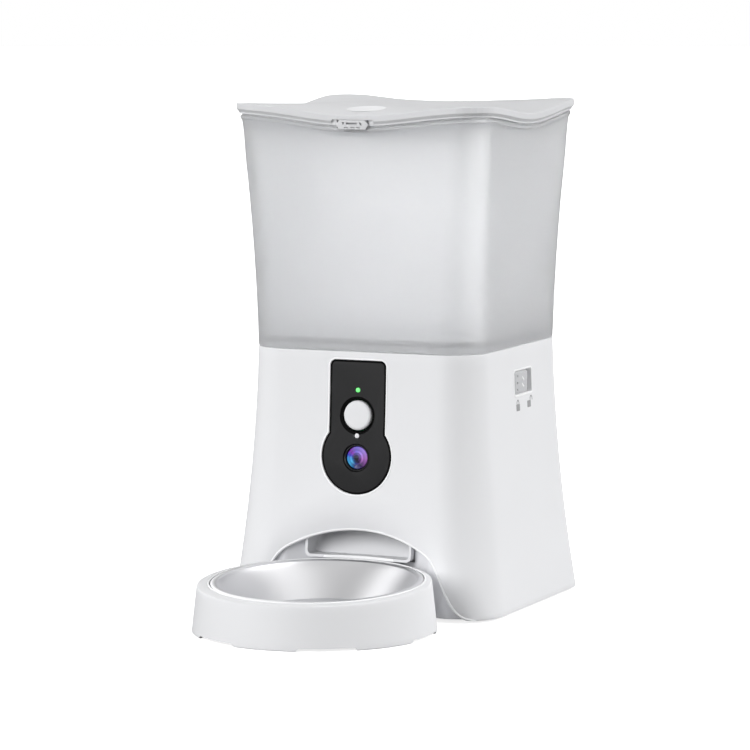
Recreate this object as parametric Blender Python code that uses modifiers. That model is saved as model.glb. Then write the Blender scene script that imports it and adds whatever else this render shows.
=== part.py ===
"""Automatic pet feeder: a waisted square tower with a lift-off hopper and lid, a rotor
that meters the kibble, a chute, and a steel bowl in a slide-in tray.

Metres, +Z up. The feeder faces -Y and is symmetric about X = 0. The origin is on the
surface it stands on, under the middle of the whole outline (tray included).
"""
import math

import bmesh
import bpy
from mathutils import Matrix, Vector

# ---------------------------------------------------------------- driving dimensions
GAP = 0.0003                # running gap between pieces that touch
GROUND_GAP = 0.002          # base shell above the surface, on its rubber feet
WAIST_Z = 0.162             # seam between base and hopper, the narrowest level
WAIST_HALF = 0.0760
BASE_FLARE = 0.0137         # how much wider each side is at the foot than at the waist
RIM_Z = 0.305               # nominal hopper rim level
HOPPER_FLARE = 0.0075       # how much wider each side is at the rim than at the waist
FOOT_CORNER = 0.0306        # plan corner radius at the foot, waist and rim
WAIST_CORNER = 0.0237
RIM_CORNER = 0.0210
BASE_WALL = 0.0024
HOPPER_WALL = 0.0020

LID_HALF = 0.0856
LID_CORNER = 0.0220
LID_EDGE_MEAN = 0.3095      # the lid's edge waves: low at mid-side, high at the corners
LID_EDGE_WAVE = 0.0032
LID_WAVE_HALF = 0.080
LID_CROWN_Z = 0.3113
LID_THICK = 0.0022
LID_SKIRT = 0.0044
LID_CHAMFER = 0.0018
DIMPLE_Y = -0.0640          # thumb dimple in the lid's top
DIMPLE_R = 0.0122
DIMPLE_DEPTH = 0.0012

PANEL_HALF = 0.01835        # keyhole control panel on the front
PANEL_TOP = 0.1565
PANEL_EYE_Z = 0.0978
PANEL_EYE_R = 0.0230
PANEL_THICK = 0.0018
LIGHT_Z = 0.1385
BUTTON_Z = 0.1230
BUTTON_R = 0.00915
WINDOW_Z = 0.1105
LENS_Z = 0.0970
LENS_R = 0.0071

LOCK_Z = 0.13905            # side lock: slot centre level, slot and knob lengths along Y
LOCK_SLOT = (-0.0110, 0.0175)
LOCK_KNOB = 0.0213
LOCK_HEIGHT = 0.0147

TRAY_Y = -0.1410
TRAY_R_FOOT = 0.0740
TRAY_R_TOP = 0.0705
TRAY_TOP_Z = 0.0297
TRAY_TILT = math.radians(2.9)
TRAY_FOOT_GAP = 0.0017
BOWL_Y = -0.1380
BOWL_R = 0.0648
BOWL_RIM_Z = 0.0300
BOWL_DEPTH = 0.0205
BOWL_FLOOR_R = 0.0440

CHUTE_HALF = 0.0355
CHUTE_LIP_Z = 0.0354
CHUTE_WALL = 0.0016
BAY_R = 0.0780              # round back of the bay the tray slides into

ROTOR_R = 0.0485
HOUSING_R = 0.0520
HOUSING_FLOOR_Z = 0.110
DECK_Z = 0.150
DECK_THICK = 0.0024

GEAR_MODULE = 0.00125
DRIVE_TEETH = 28
PINION_TEETH = 20
GEAR_Z = (0.0980, 0.1040)

CELL_R = 0.0166             # three D cells
CELL_LENGTH = 0.0605
CELL_PITCH = 0.0342
CELL_Y = 0.0260
CELL_Z = 0.0248

# the whole outline runs from the tray's front to the base's back
BODY_Y = -((TRAY_Y - TRAY_R_FOOT) + (WAIST_HALF + BASE_FLARE)) / 2


# ---------------------------------------------------------------- scene and materials
for old in list(bpy.data.objects):
    bpy.data.objects.remove(old, do_unlink=True)

PARTS = bpy.data.collections.new("automatic_pet_feeder")
CUTTERS = bpy.data.collections.new("cutters")
bpy.context.scene.collection.children.link(PARTS)
bpy.context.scene.collection.children.link(CUTTERS)

BODY = bpy.data.objects.new("body_origin", None)
BODY.location = (0.0, BODY_Y, 0.0)
PARTS.objects.link(BODY)

FINISHES = {
    # name: (colour, roughness, metallic, alpha)
    "white_abs": ((0.80, 0.81, 0.83), 0.32, 0.0, 1.0),
    "frosted_clear": ((0.72, 0.74, 0.77), 0.35, 0.0, 0.6),
    "black_gloss": ((0.03, 0.03, 0.032), 0.18, 0.0, 1.0),
    "black_matte": ((0.02, 0.02, 0.02), 0.60, 0.0, 1.0),
    "satin_steel": ((0.62, 0.62, 0.64), 0.28, 1.0, 1.0),
    "grey_rubber": ((0.28, 0.28, 0.29), 0.80, 0.0, 1.0),
    "white_silicone": ((0.75, 0.76, 0.78), 0.65, 0.0, 1.0),
    "lens_glass": ((0.10, 0.06, 0.35), 0.05, 0.0, 1.0),
    "green_light": ((0.20, 0.85, 0.25), 0.30, 0.0, 1.0),
    "circuit_green": ((0.02, 0.22, 0.09), 0.45, 0.0, 1.0),
    "gear_nylon": ((0.78, 0.76, 0.68), 0.45, 0.0, 1.0),
    "cell_wrap": ((0.07, 0.08, 0.10), 0.35, 0.6, 1.0),
    "spring_steel": ((0.70, 0.70, 0.70), 0.30, 1.0, 1.0),
}


def material(finish):
    """The Principled material of a finish, made once."""
    found = bpy.data.materials.get(finish)
    if found:
        return found
    colour, roughness, metallic, alpha = FINISHES[finish]
    made = bpy.data.materials.new(finish)
    made.use_nodes = True
    shader = made.node_tree.nodes["Principled BSDF"]
    shader.inputs["Base Color"].default_value = (*colour, 1.0)
    shader.inputs["Roughness"].default_value = roughness
    shader.inputs["Metallic"].default_value = metallic
    shader.inputs["Alpha"].default_value = alpha
    return made


# ---------------------------------------------------------------- making and cutting
def link(name, mesh, finish, location=(0, 0, 0), rotation=(0, 0, 0)):
    """Put a mesh in the parts collection, placed in the body's own frame."""
    made = bpy.data.objects.new(name, mesh)
    made.location = location
    made.rotation_euler = rotation
    made.parent = BODY
    mesh.materials.clear()
    mesh.materials.append(material(finish))
    PARTS.objects.link(made)
    return made


def cutter(mesh, location=(0, 0, 0), rotation=(0, 0, 0)):
    """A hidden guide solid for Boolean modifiers."""
    made = bpy.data.objects.new("cutter", mesh)
    made.location = location
    made.rotation_euler = rotation
    made.parent = BODY
    made.hide_render = True
    made.display_type = "WIRE"
    CUTTERS.objects.link(made)
    return made


def boolean(target, operation, *tools):
    """Cut, join or intersect a target with guide solids."""
    for tool in tools:
        step = target.modifiers.new(operation.lower(), "BOOLEAN")
        step.operation = operation
        step.object = tool
    return target


def solidify(target, thickness, offset=-1.0):
    """Give an open surface its wall."""
    wall = target.modifiers.new("wall", "SOLIDIFY")
    wall.thickness = thickness
    wall.offset = offset
    wall.use_even_offset = True
    return target


def bevel(target, width, segments=2, angle=40.0):
    """Round the edges sharper than an angle."""
    step = target.modifiers.new("round", "BEVEL")
    step.width = width
    step.segments = segments
    step.limit_method = "ANGLE"
    step.angle_limit = math.radians(angle)
    return target


def finish_mesh(bm, name):
    """Turn a bmesh into a mesh with outward faces and smooth shading."""
    bmesh.ops.recalc_face_normals(bm, faces=bm.faces)
    mesh = bpy.data.meshes.new(name)
    bm.to_mesh(mesh)
    bm.free()
    mesh.shade_smooth()
    mesh.set_sharp_from_angle(angle=math.radians(35.0))
    return mesh


def box_mesh(low, high):
    """A box between two corners."""
    bm = bmesh.new()
    bmesh.ops.create_cube(bm, size=1.0)
    low = Vector(low)
    high = Vector(high)
    bmesh.ops.scale(bm, vec=high - low, verts=bm.verts)
    bmesh.ops.translate(bm, vec=(low + high) / 2, verts=bm.verts)
    return finish_mesh(bm, "box")


def rod_mesh(radius, low, high, segments=24, top_radius=None):
    """A cylinder or cone along Z between two levels."""
    bm = bmesh.new()
    second = radius if top_radius is None else top_radius
    bmesh.ops.create_cone(bm, cap_ends=True, segments=segments, radius1=radius,
                          radius2=second, depth=high - low)
    bmesh.ops.translate(bm, vec=(0, 0, (low + high) / 2), verts=bm.verts)
    return finish_mesh(bm, "rod")


def turned_mesh(profile, steps=32):
    """Turn a profile of (radius, z) points about Z with a Screw modifier."""
    line = bpy.data.meshes.new("profile")
    closed = profile[0] == profile[-1]
    points = profile[:-1] if closed else profile
    edges = [(i, i + 1) for i in range(len(points) - 1)]
    if closed:
        edges.append((len(points) - 1, 0))
    line.from_pydata([(r, 0.0, z) for r, z in points], edges, [])
    holder = bpy.data.objects.new("profile", line)
    CUTTERS.objects.link(holder)
    screw = holder.modifiers.new("turn", "SCREW")
    screw.steps = steps
    screw.render_steps = steps
    screw.use_merge_vertices = True
    screw.merge_threshold = 0.00001
    mesh = evaluated_mesh(holder)
    bm = bmesh.new()
    bm.from_mesh(mesh)
    bmesh.ops.remove_doubles(bm, verts=bm.verts, dist=0.000005)
    return finish_mesh(bm, "turned")


def evaluated_mesh(holder):
    """The mesh a temporary object evaluates to; the object is removed."""
    graph = bpy.context.evaluated_depsgraph_get()
    graph.update()
    mesh = bpy.data.meshes.new_from_object(holder.evaluated_get(graph))
    bpy.data.objects.remove(holder, do_unlink=True)
    return mesh


def plate_mesh(outline, low, high, holes=()):
    """A flat plate: a filled 2D curve in XY with holes, from one level to another."""
    curve = bpy.data.curves.new("outline", "CURVE")
    curve.dimensions = "2D"
    curve.fill_mode = "BOTH"
    curve.extrude = (high - low) / 2
    for loop in (outline, *holes):
        spline = curve.splines.new("POLY")
        spline.points.add(len(loop) - 1)
        for point, (x, y) in zip(spline.points, loop):
            point.co = (x, y, 0.0, 1.0)
        spline.use_cyclic_u = True
    holder = bpy.data.objects.new("outline", curve)
    CUTTERS.objects.link(holder)
    mesh = evaluated_mesh(holder)
    bm = bmesh.new()
    bm.from_mesh(mesh)
    bmesh.ops.remove_doubles(bm, verts=bm.verts, dist=0.000002)
    bmesh.ops.translate(bm, vec=(0, 0, (low + high) / 2), verts=bm.verts)
    return finish_mesh(bm, "plate")


def upright(outline, near, far, holes=()):
    """A plate whose outline is in XZ, standing between two Y levels."""
    mesh = plate_mesh(outline, -far, -near, holes)
    mesh.transform(Matrix.Rotation(math.radians(90.0), 4, "X"))
    return mesh


def loft_mesh(rings, closed=False):
    """Skin equal rings of points. A ring of one point closes an end with a fan."""
    bm = bmesh.new()
    rows = [[bm.verts.new(point) for point in ring] for ring in rings]
    pairs = list(zip(rows, rows[1:]))
    if closed:
        pairs.append((rows[-1], rows[0]))
    for lower, upper in pairs:
        count = max(len(lower), len(upper))
        for i in range(count):
            j = (i + 1) % count
            if len(lower) == 1:
                bm.faces.new((lower[0], upper[j], upper[i]))
            elif len(upper) == 1:
                bm.faces.new((lower[i], lower[j], upper[0]))
            else:
                bm.faces.new((lower[i], lower[j], upper[j], upper[i]))
    return finish_mesh(bm, "loft")


def capped_loft(rings):
    """A solid loft whose two end rings are flat."""
    bm = bmesh.new()
    rows = [[bm.verts.new(point) for point in ring] for ring in rings]
    for lower, upper in zip(rows, rows[1:]):
        for i in range(len(lower)):
            j = (i + 1) % len(lower)
            bm.faces.new((lower[i], lower[j], upper[j], upper[i]))
    bm.faces.new(rows[0])
    bm.faces.new(rows[-1])
    return finish_mesh(bm, "solid")


# ---------------------------------------------------------------- the body's form
def half_width(z):
    """Half the width of the tower at a level: least at the waist."""
    if z <= WAIST_Z:
        t = (WAIST_Z - z) / (WAIST_Z - GROUND_GAP)
        return WAIST_HALF + BASE_FLARE * (0.35 * t + 0.65 * t * t)
    t = (z - WAIST_Z) / (RIM_Z - WAIST_Z)
    return WAIST_HALF + HOPPER_FLARE * (0.29 * t + 0.71 * t * t)


def corner_radius(z):
    """Plan corner radius of the tower at a level."""
    if z <= WAIST_Z:
        t = (WAIST_Z - z) / (WAIST_Z - GROUND_GAP)
        return WAIST_CORNER + (FOOT_CORNER - WAIST_CORNER) * t
    t = (z - WAIST_Z) / (RIM_Z - WAIST_Z)
    return WAIST_CORNER + (RIM_CORNER - WAIST_CORNER) * t


def front_lean(z):
    """Angle between the front face and the vertical at a level."""
    step = 0.001
    return math.atan((half_width(z - step) - half_width(z + step)) / (2 * step))


def square(half, radius, corner_steps=5, side_steps=1):
    """A rounded square as (x, y) points, anticlockwise from the right side."""
    points = []
    reach = half - radius
    for quarter in range(4):
        turn = quarter * math.pi / 2
        for i in range(side_steps):
            along = -reach + 2 * reach * i / side_steps
            points.append(rotate(half, along, turn))
        for i in range(corner_steps):
            a = math.pi / 2 * i / corner_steps
            points.append(rotate(reach + radius * math.cos(a),
                                 reach + radius * math.sin(a), turn))
    return points


def rotate(x, y, angle):
    """Turn a plan point about the axis."""
    return (x * math.cos(angle) - y * math.sin(angle),
            x * math.sin(angle) + y * math.cos(angle))


def circle(radius, count, x=0.0, y=0.0):
    """A circle as (x, y) points."""
    return [(x + radius * math.cos(2 * math.pi * i / count),
             y + radius * math.sin(2 * math.pi * i / count)) for i in range(count)]


def tower_ring(z, inset=0.0, side_steps=1):
    """The tower's outline at a level, pulled in by an inset."""
    half = half_width(z) - inset
    radius = max(corner_radius(z) - inset, 0.004)
    return [(x, y, z) for x, y in square(half, radius, side_steps=side_steps)]


def levels(low, high, count):
    """Evenly spaced levels, both ends included."""
    return [low + (high - low) * i / (count - 1) for i in range(count)]


def lid_edge(x, y):
    """Height of the lid's waved edge over a plan point."""
    along = min(abs(x), abs(y), LID_WAVE_HALF)
    return LID_EDGE_MEAN - LID_EDGE_WAVE * math.cos(math.pi * along / LID_WAVE_HALF)


def bezier(p0, p1, p2, p3, steps):
    """Points along a cubic curve, the end left out."""
    points = []
    for i in range(steps):
        t = i / steps
        s = 1 - t
        weights = (s * s * s, 3 * s * s * t, 3 * s * t * t, t * t * t)
        points.append(tuple(sum(w * p[k] for w, p in zip(weights, (p0, p1, p2, p3)))
                            for k in (0, 1)))
    return points


def arch_outline(grow=0.0, floor=0.0):
    """The bell-shaped front opening in XZ; its toes run out along the foot."""
    base = GROUND_GAP + grow
    right = bezier((0, base + 0.0500), (0.0162, base + 0.0500),
                   (0.0320, base + 0.0458), (0.0460, base + 0.0376), 6)
    right += bezier((0.0460, base + 0.0376), (0.0529, base + 0.0335),
                    (0.0569, base + 0.0229), (0.0610, base + 0.0160), 4)
    right += bezier((0.0610, base + 0.0160), (0.0656, base + 0.0082),
                    (0.0700, base), (0.0790, base), 5)
    right = [(x + grow * min(x / 0.02, 1.0), z) for x, z in right]
    right.append((0.0790 + grow, base))
    right.append((0.0790 + grow, floor))
    left = [(-x, z) for x, z in reversed(right) if x > 0]
    return right + left


def keyhole(grow=0.0):
    """The control panel's outline in XZ: a rounded strip over a round eye."""
    half = PANEL_HALF + grow
    top = PANEL_TOP + grow
    round_r = 0.0035 + grow
    eye = PANEL_EYE_R + grow
    neck = math.acos(half / eye)
    right = []
    for i in range(5):
        a = math.pi / 2 * (1 - i / 4)
        right.append((half - round_r + round_r * math.cos(a),
                      top - round_r + round_r * math.sin(a)))
    count = 12
    for i in range(count):
        a = neck - (neck + math.pi / 2) * i / count
        right.append((eye * math.cos(a), PANEL_EYE_Z + eye * math.sin(a)))
    left = [(-x, z) for x, z in reversed(right)]
    return right + [(0.0, PANEL_EYE_Z - eye)] + left


def front_place(z, depth=0.0):
    """Location and rotation of a turned piece that looks out of the front face."""
    lean = front_lean(z)
    out = Vector((0.0, -math.cos(lean), math.sin(lean)))
    spot = Vector((0.0, -half_width(z), z)) - out * depth
    return spot, (math.radians(90.0) - lean, 0.0, 0.0)


# ---------------------------------------------------------------- base
def interior_mesh(low, high, inset):
    """The solid space inside the tower between two levels."""
    return capped_loft([tower_ring(z, inset) for z in levels(low, high, 9)])


def make_base_shell():
    """Flared outer shell with the deck that carries the hopper."""
    rings = [tower_ring(z) for z in levels(GROUND_GAP, WAIST_Z - GAP / 2, 9)]
    shell = link("base_shell", loft_mesh(rings), "white_abs")
    solidify(shell, BASE_WALL)
    deck_half = half_width(DECK_Z) - BASE_WALL / 2
    outline = square(deck_half, corner_radius(DECK_Z) - BASE_WALL / 2)
    keeper_slot = [(0.0600, -0.0260), (0.0695, -0.0260), (0.0695, -0.0150),
                   (0.0600, -0.0150)]
    deck = plate_mesh(outline, DECK_Z, DECK_Z + DECK_THICK,
                      [circle(HOUSING_R + 0.0020, 40), keeper_slot])
    boolean(shell, "UNION", cutter(deck))
    for x in (-0.0805, 0.0805):
        for y in (-0.0380, 0.0500):
            boss = turned_mesh([(0.0017, 0.0400), (0.0042, 0.0400), (0.0042, 0.0061),
                                (0.0017, 0.0061), (0.0017, 0.0400)], 10)
            boolean(shell, "UNION", cutter(boss, (x, y, 0)))
    boolean(shell, "DIFFERENCE",
            cutter(upright(arch_outline(0.0, -0.01), -0.120, -0.050)),
            cutter(upright(keyhole(GAP), -0.095, -0.070)),
            cutter(box_mesh((0.0700, LOCK_SLOT[0], LOCK_Z - LOCK_HEIGHT / 2),
                            (0.0900, LOCK_SLOT[1], LOCK_Z + LOCK_HEIGHT / 2))),
            cutter(rod_mesh(0.0052, -0.010, 0.010, 20), (-0.045, 0.087, 0.030),
                   (math.radians(90.0), 0, 0)))
    for i in range(5):
        x = (i - 2) * 0.0050
        boolean(shell, "DIFFERENCE",
                cutter(box_mesh((x - 0.0011, 0.070, 0.092), (x + 0.0011, 0.095, 0.116))))
    return shell


def make_base_bottom():
    """Flat underside with the bay and the battery opening cut out."""
    half = half_width(0.0055) - BASE_WALL - GAP * 2
    outline = square(half, corner_radius(0.0055) - BASE_WALL)
    door = [(-0.0330, -0.0262), (0.0330, -0.0262), (0.0330, 0.0835), (-0.0330, 0.0835)]
    screw_holes = [circle(0.0017, 12, x, y)
                   for x in (-0.0805, 0.0805) for y in (-0.0380, 0.0500)]
    plate = link("base_bottom", plate_mesh(outline, 0.0030, 0.0055, [door, *screw_holes]),
                 "white_abs")
    bay = rod_mesh(BAY_R + 0.0023 + GAP, -0.02, 0.02, 56)
    boolean(plate, "DIFFERENCE", cutter(bay, (0, TRAY_Y, 0)),
            cutter(box_mesh((-0.0230, -0.075, -0.01), (0.0230, -0.0480, 0.02))),
            cutter(box_mesh((-0.100, -0.110, -0.01), (0.100, -0.0800, 0.02))))
    return plate


def make_bowl_bay():
    """Hood behind the arch: the arch swept back to a round wall behind the tray."""
    outer = link("bowl_bay", upright(arch_outline(-GAP, -0.01), -0.100, -0.040),
                 "white_abs")
    boolean(outer, "INTERSECT",
            cutter(rod_mesh(BAY_R + 0.0020, -0.02, 0.08, 64), (0, TRAY_Y, 0)),
            cutter(interior_mesh(0.0025, 0.0800, BASE_WALL + GAP)))
    core = cutter(upright(arch_outline(-0.0020, -0.01), -0.120, -0.040))
    boolean(core, "INTERSECT", cutter(rod_mesh(BAY_R, -0.02, 0.08, 64), (0, TRAY_Y, 0)))
    boolean(outer, "DIFFERENCE", core,
            cutter(box_mesh((-CHUTE_HALF - GAP, -0.095, CHUTE_LIP_Z - CHUTE_WALL - GAP),
                            (CHUTE_HALF + GAP, -0.040, 0.080))),
            cutter(box_mesh((-0.0215, -0.075, -0.01), (0.0215, -0.040, 0.0068))))
    return outer


def chute_section(y_floor, z_floor, y_roof, z_roof, half):
    """One open quad ring of the chute, floor side first."""
    return [(-half, y_floor, z_floor), (half, y_floor, z_floor),
            (half, y_roof, z_roof), (-half, y_roof, z_roof)]


def make_chute():
    """Duct from under the rotor outlet down to a lip just above the bowl's back rim."""
    wall = CHUTE_WALL
    outer = [chute_section(-0.0640, CHUTE_LIP_Z - wall, -0.0660, 0.0560, CHUTE_HALF),
             chute_section(-0.0204, HOUSING_FLOOR_Z - GAP, -0.0512,
                           HOUSING_FLOOR_Z - GAP, 0.0250)]
    lip_front = [(-CHUTE_HALF, -0.0950, CHUTE_LIP_Z - wall),
                 (CHUTE_HALF, -0.0950, CHUTE_LIP_Z - wall),
                 (CHUTE_HALF, -0.0950, 0.0560), (-CHUTE_HALF, -0.0950, 0.0560)]
    chute = link("chute", capped_loft([lip_front, *outer]), "white_abs")
    inner = [[(-CHUTE_HALF + wall, -0.1000, CHUTE_LIP_Z),
              (CHUTE_HALF - wall, -0.1000, CHUTE_LIP_Z),
              (CHUTE_HALF - wall, -0.1000, 0.0700),
              (-CHUTE_HALF + wall, -0.1000, 0.0700)],
             chute_section(-0.0655, CHUTE_LIP_Z, -0.0800, 0.0540, CHUTE_HALF - wall),
             chute_section(-0.0221, HOUSING_FLOOR_Z - GAP, -0.0495,
                           HOUSING_FLOOR_Z - GAP, 0.0234),
             chute_section(-0.0221, 0.1200, -0.0495, 0.1200, 0.0234)]
    boolean(chute, "DIFFERENCE", cutter(capped_loft(inner)))
    # the front edge follows the bowl's rim, under the arch and inside the shell
    boolean(chute, "DIFFERENCE", cutter(rod_mesh(BOWL_R + 0.0006, -0.02, 0.0600, 72),
                                        (0, BOWL_Y, 0)))
    boolean(chute, "INTERSECT",
            cutter(interior_mesh(0.0100, 0.1300, BASE_WALL + GAP)))
    return chute


def make_panel():
    """Black keyhole panel set into the front face."""
    skin_out = cutter(interior_mesh(0.060, 0.161, -0.0002))
    skin_in = cutter(interior_mesh(0.050, 0.1615, PANEL_THICK))
    panel = link("front_panel", upright(keyhole(), -0.100, -0.060), "black_gloss")
    boolean(panel, "INTERSECT", skin_out)
    boolean(panel, "DIFFERENCE", skin_in)
    for z, radius in ((BUTTON_Z, BUTTON_R + 0.0008), (LENS_Z, LENS_R + 0.0010),
                      (LIGHT_Z, 0.0017), (WINDOW_Z, 0.0018)):
        spot, turn = front_place(z)
        boolean(panel, "DIFFERENCE", cutter(rod_mesh(radius, -0.010, 0.010, 28), spot, turn))
    return panel


def make_panel_pieces():
    """What sits in and behind the panel: light, window, camera, button and board."""
    spot, turn = front_place(LIGHT_Z)
    light = turned_mesh([(0.0, 0.0003), (0.0008, 0.0002), (0.0014, -0.0002),
                         (0.0014, -0.0070), (0.0, -0.0070)], 16)
    link("status_light", light, "green_light", spot, turn)
    spot, turn = front_place(WINDOW_Z)
    window = turned_mesh([(0.0, 0.0002), (0.0009, 0.0001), (0.0015, -0.0003),
                          (0.0015, -0.0070), (0.0, -0.0070)], 16)
    link("sensor_window", window, "white_silicone", spot, turn)
    spot, turn = front_place(BUTTON_Z)
    cap = turned_mesh([(0.0, 0.0010), (0.0060, 0.0008), (0.0082, 0.0003),
                       (BUTTON_R, -0.0008), (BUTTON_R, -0.0030), (0.0030, -0.0030),
                       (0.0030, -0.0062), (0.0, -0.0062)], 32)
    link("feed_button", cap, "white_abs", spot, turn)
    switch = box_mesh((-0.0031, -0.0031, -0.0112), (0.0031, 0.0031, -0.0076))
    link("tact_switch", switch, "black_matte", spot, turn)
    board = box_mesh((-0.0155, -0.0130, -0.0131), (0.0155, 0.0220, -0.0115))
    link("panel_board", board, "circuit_green", spot, turn)
    spot, turn = front_place(LENS_Z)
    barrel = turned_mesh([(0.0, -0.0040), (0.0052, -0.0036), (LENS_R + GAP, -0.0032),
                          (LENS_R + GAP, -0.0006), (0.0079, -0.0006),
                          (0.0079, -0.0148), (0.0, -0.0148)], 24)
    link("camera_barrel", barrel, "black_matte", spot, turn)
    dome = turned_mesh([(0.0, 0.0002), (0.0030, -0.0001), (0.0055, -0.0008),
                        (LENS_R, -0.0018), (LENS_R, -0.0028), (0.0, -0.0033)], 32)
    link("camera_lens", dome, "lens_glass", spot, turn)


def make_lock():
    """Sliding side lock: a knob in the slot, on a bolt that catches the hopper."""
    out = half_width(LOCK_Z)
    y0 = LOCK_SLOT[0] + GAP
    half = LOCK_HEIGHT / 2 - GAP
    slide = link("lock_knob", box_mesh((out - 0.0052, y0, LOCK_Z - half),
                                       (out + 0.0004, y0 + LOCK_KNOB, LOCK_Z + half)),
                 "white_abs")
    bevel(slide, 0.0006, 2)
    back = link("lock_bolt", box_mesh((out - 0.0082, y0 - 0.0050, LOCK_Z - 0.0090),
                                      (out - 0.0056, y0 + 0.0330, LOCK_Z + 0.0080)),
                "white_abs")
    nose = box_mesh((0.0630, y0 - 0.0052, LOCK_Z + 0.0010),
                    (out - 0.0070, y0 - 0.0012, LOCK_Z + 0.0060))
    boolean(back, "UNION", cutter(nose))


# ---------------------------------------------------------------- drive
def gear_outline(teeth, turn):
    """A spur gear outline: four points to a tooth."""
    pitch = GEAR_MODULE * teeth / 2
    tip = pitch + GEAR_MODULE * 0.90
    root = pitch - GEAR_MODULE * 1.20
    points = []
    for tooth in range(teeth):
        middle = turn + 2 * math.pi * tooth / teeth
        for radius, share in ((root, -0.34), (tip, -0.13), (tip, 0.13), (root, 0.34)):
            a = middle + share * 2 * math.pi / teeth
            points.append((radius * math.cos(a), radius * math.sin(a)))
    return points


def make_drive():
    """Gearmotor, its pinion, the drive gear with its dog, and their bracket."""
    pinion_y = GEAR_MODULE * (DRIVE_TEETH + PINION_TEETH) / 2
    # a tooth of the pinion stands in the gap that faces it on the drive gear
    drive_turn = math.pi / 2 + math.pi / DRIVE_TEETH
    drive = link("drive_gear", plate_mesh(gear_outline(DRIVE_TEETH, drive_turn), *GEAR_Z),
                 "gear_nylon")
    shaft = rod_mesh(0.0045, GEAR_Z[0] - 0.0080, GEAR_Z[1] + 0.0010, 20)
    dog = rod_mesh(0.0040, GEAR_Z[1], 0.1220, 6)
    boolean(drive, "UNION", cutter(shaft), cutter(dog))
    pinion = link("motor_pinion",
                  plate_mesh(gear_outline(PINION_TEETH, -math.pi / 2), *GEAR_Z),
                  "gear_nylon", (0, pinion_y, 0))
    boolean(pinion, "UNION", cutter(rod_mesh(0.0030, 0.0850, GEAR_Z[1] + 0.0010, 16),
                                    (0, pinion_y, 0)))
    mount = link("motor_mount", box_mesh((-0.0240, -0.0100, 0.0920),
                                         (0.0240, 0.0500, 0.0950)), "white_abs")
    boolean(mount, "UNION", cutter(box_mesh((-0.0640, pinion_y - 0.0080, 0.0922),
                                            (0.0640, pinion_y + 0.0080, 0.0948))))
    for x in (-0.0590, 0.0590):
        boolean(mount, "UNION", cutter(rod_mesh(0.0045, 0.0930, DECK_Z - GAP, 12),
                                       (x, pinion_y, 0)))
    boolean(mount, "DIFFERENCE", cutter(rod_mesh(0.0048, 0.0900, 0.0970, 20)),
            cutter(rod_mesh(0.0034, 0.0900, 0.0970, 16), (0, pinion_y, 0)))
    box = turned_mesh([(0.0, 0.0840), (0.0034, 0.0840), (0.0034, 0.0917),
                       (0.0180, 0.0917), (0.0180, 0.0700), (0.0, 0.0700)], 28)
    link("gearbox_case", box, "black_matte", (0, pinion_y, 0))
    link("drive_motor", rod_mesh(0.0138, 0.0470, 0.0697, 24), "satin_steel",
         (0, pinion_y, 0))


def make_electronics():
    """Main board, speaker and the power inlet on the back."""
    link("main_board", box_mesh((-0.0300, 0.0640, 0.1180), (0.0300, 0.0656, 0.1460)),
         "circuit_green")
    link("speaker", turned_mesh([(0.0, 0.0), (0.0135, 0.0), (0.0135, -0.0030),
                                 (0.0090, -0.0085), (0.0, -0.0085)], 28),
         "black_matte", (0, 0.0735, 0.1040), (math.radians(-90.0), 0, 0))
    barrel = turned_mesh([(0.0, -0.0095), (0.0032, -0.0095), (0.0032, 0.0),
                          (0.0049, 0.0), (0.0049, -0.0125), (0.0, -0.0125)], 20)
    link("dc_inlet", barrel, "black_matte",
         (-0.045, half_width(0.030) - 0.0006, 0.030), (math.radians(-90.0), 0, 0))


# ---------------------------------------------------------------- power from cells
def coil_points(turns, wide, narrow, length):
    """A conical contact spring along X."""
    points = []
    count = int(turns * 8)
    for i in range(count + 1):
        t = i / count
        a = 2 * math.pi * turns * t
        radius = wide + (narrow - wide) * t
        points.append((length * t, radius * math.cos(a), radius * math.sin(a)))
    return points


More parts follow.
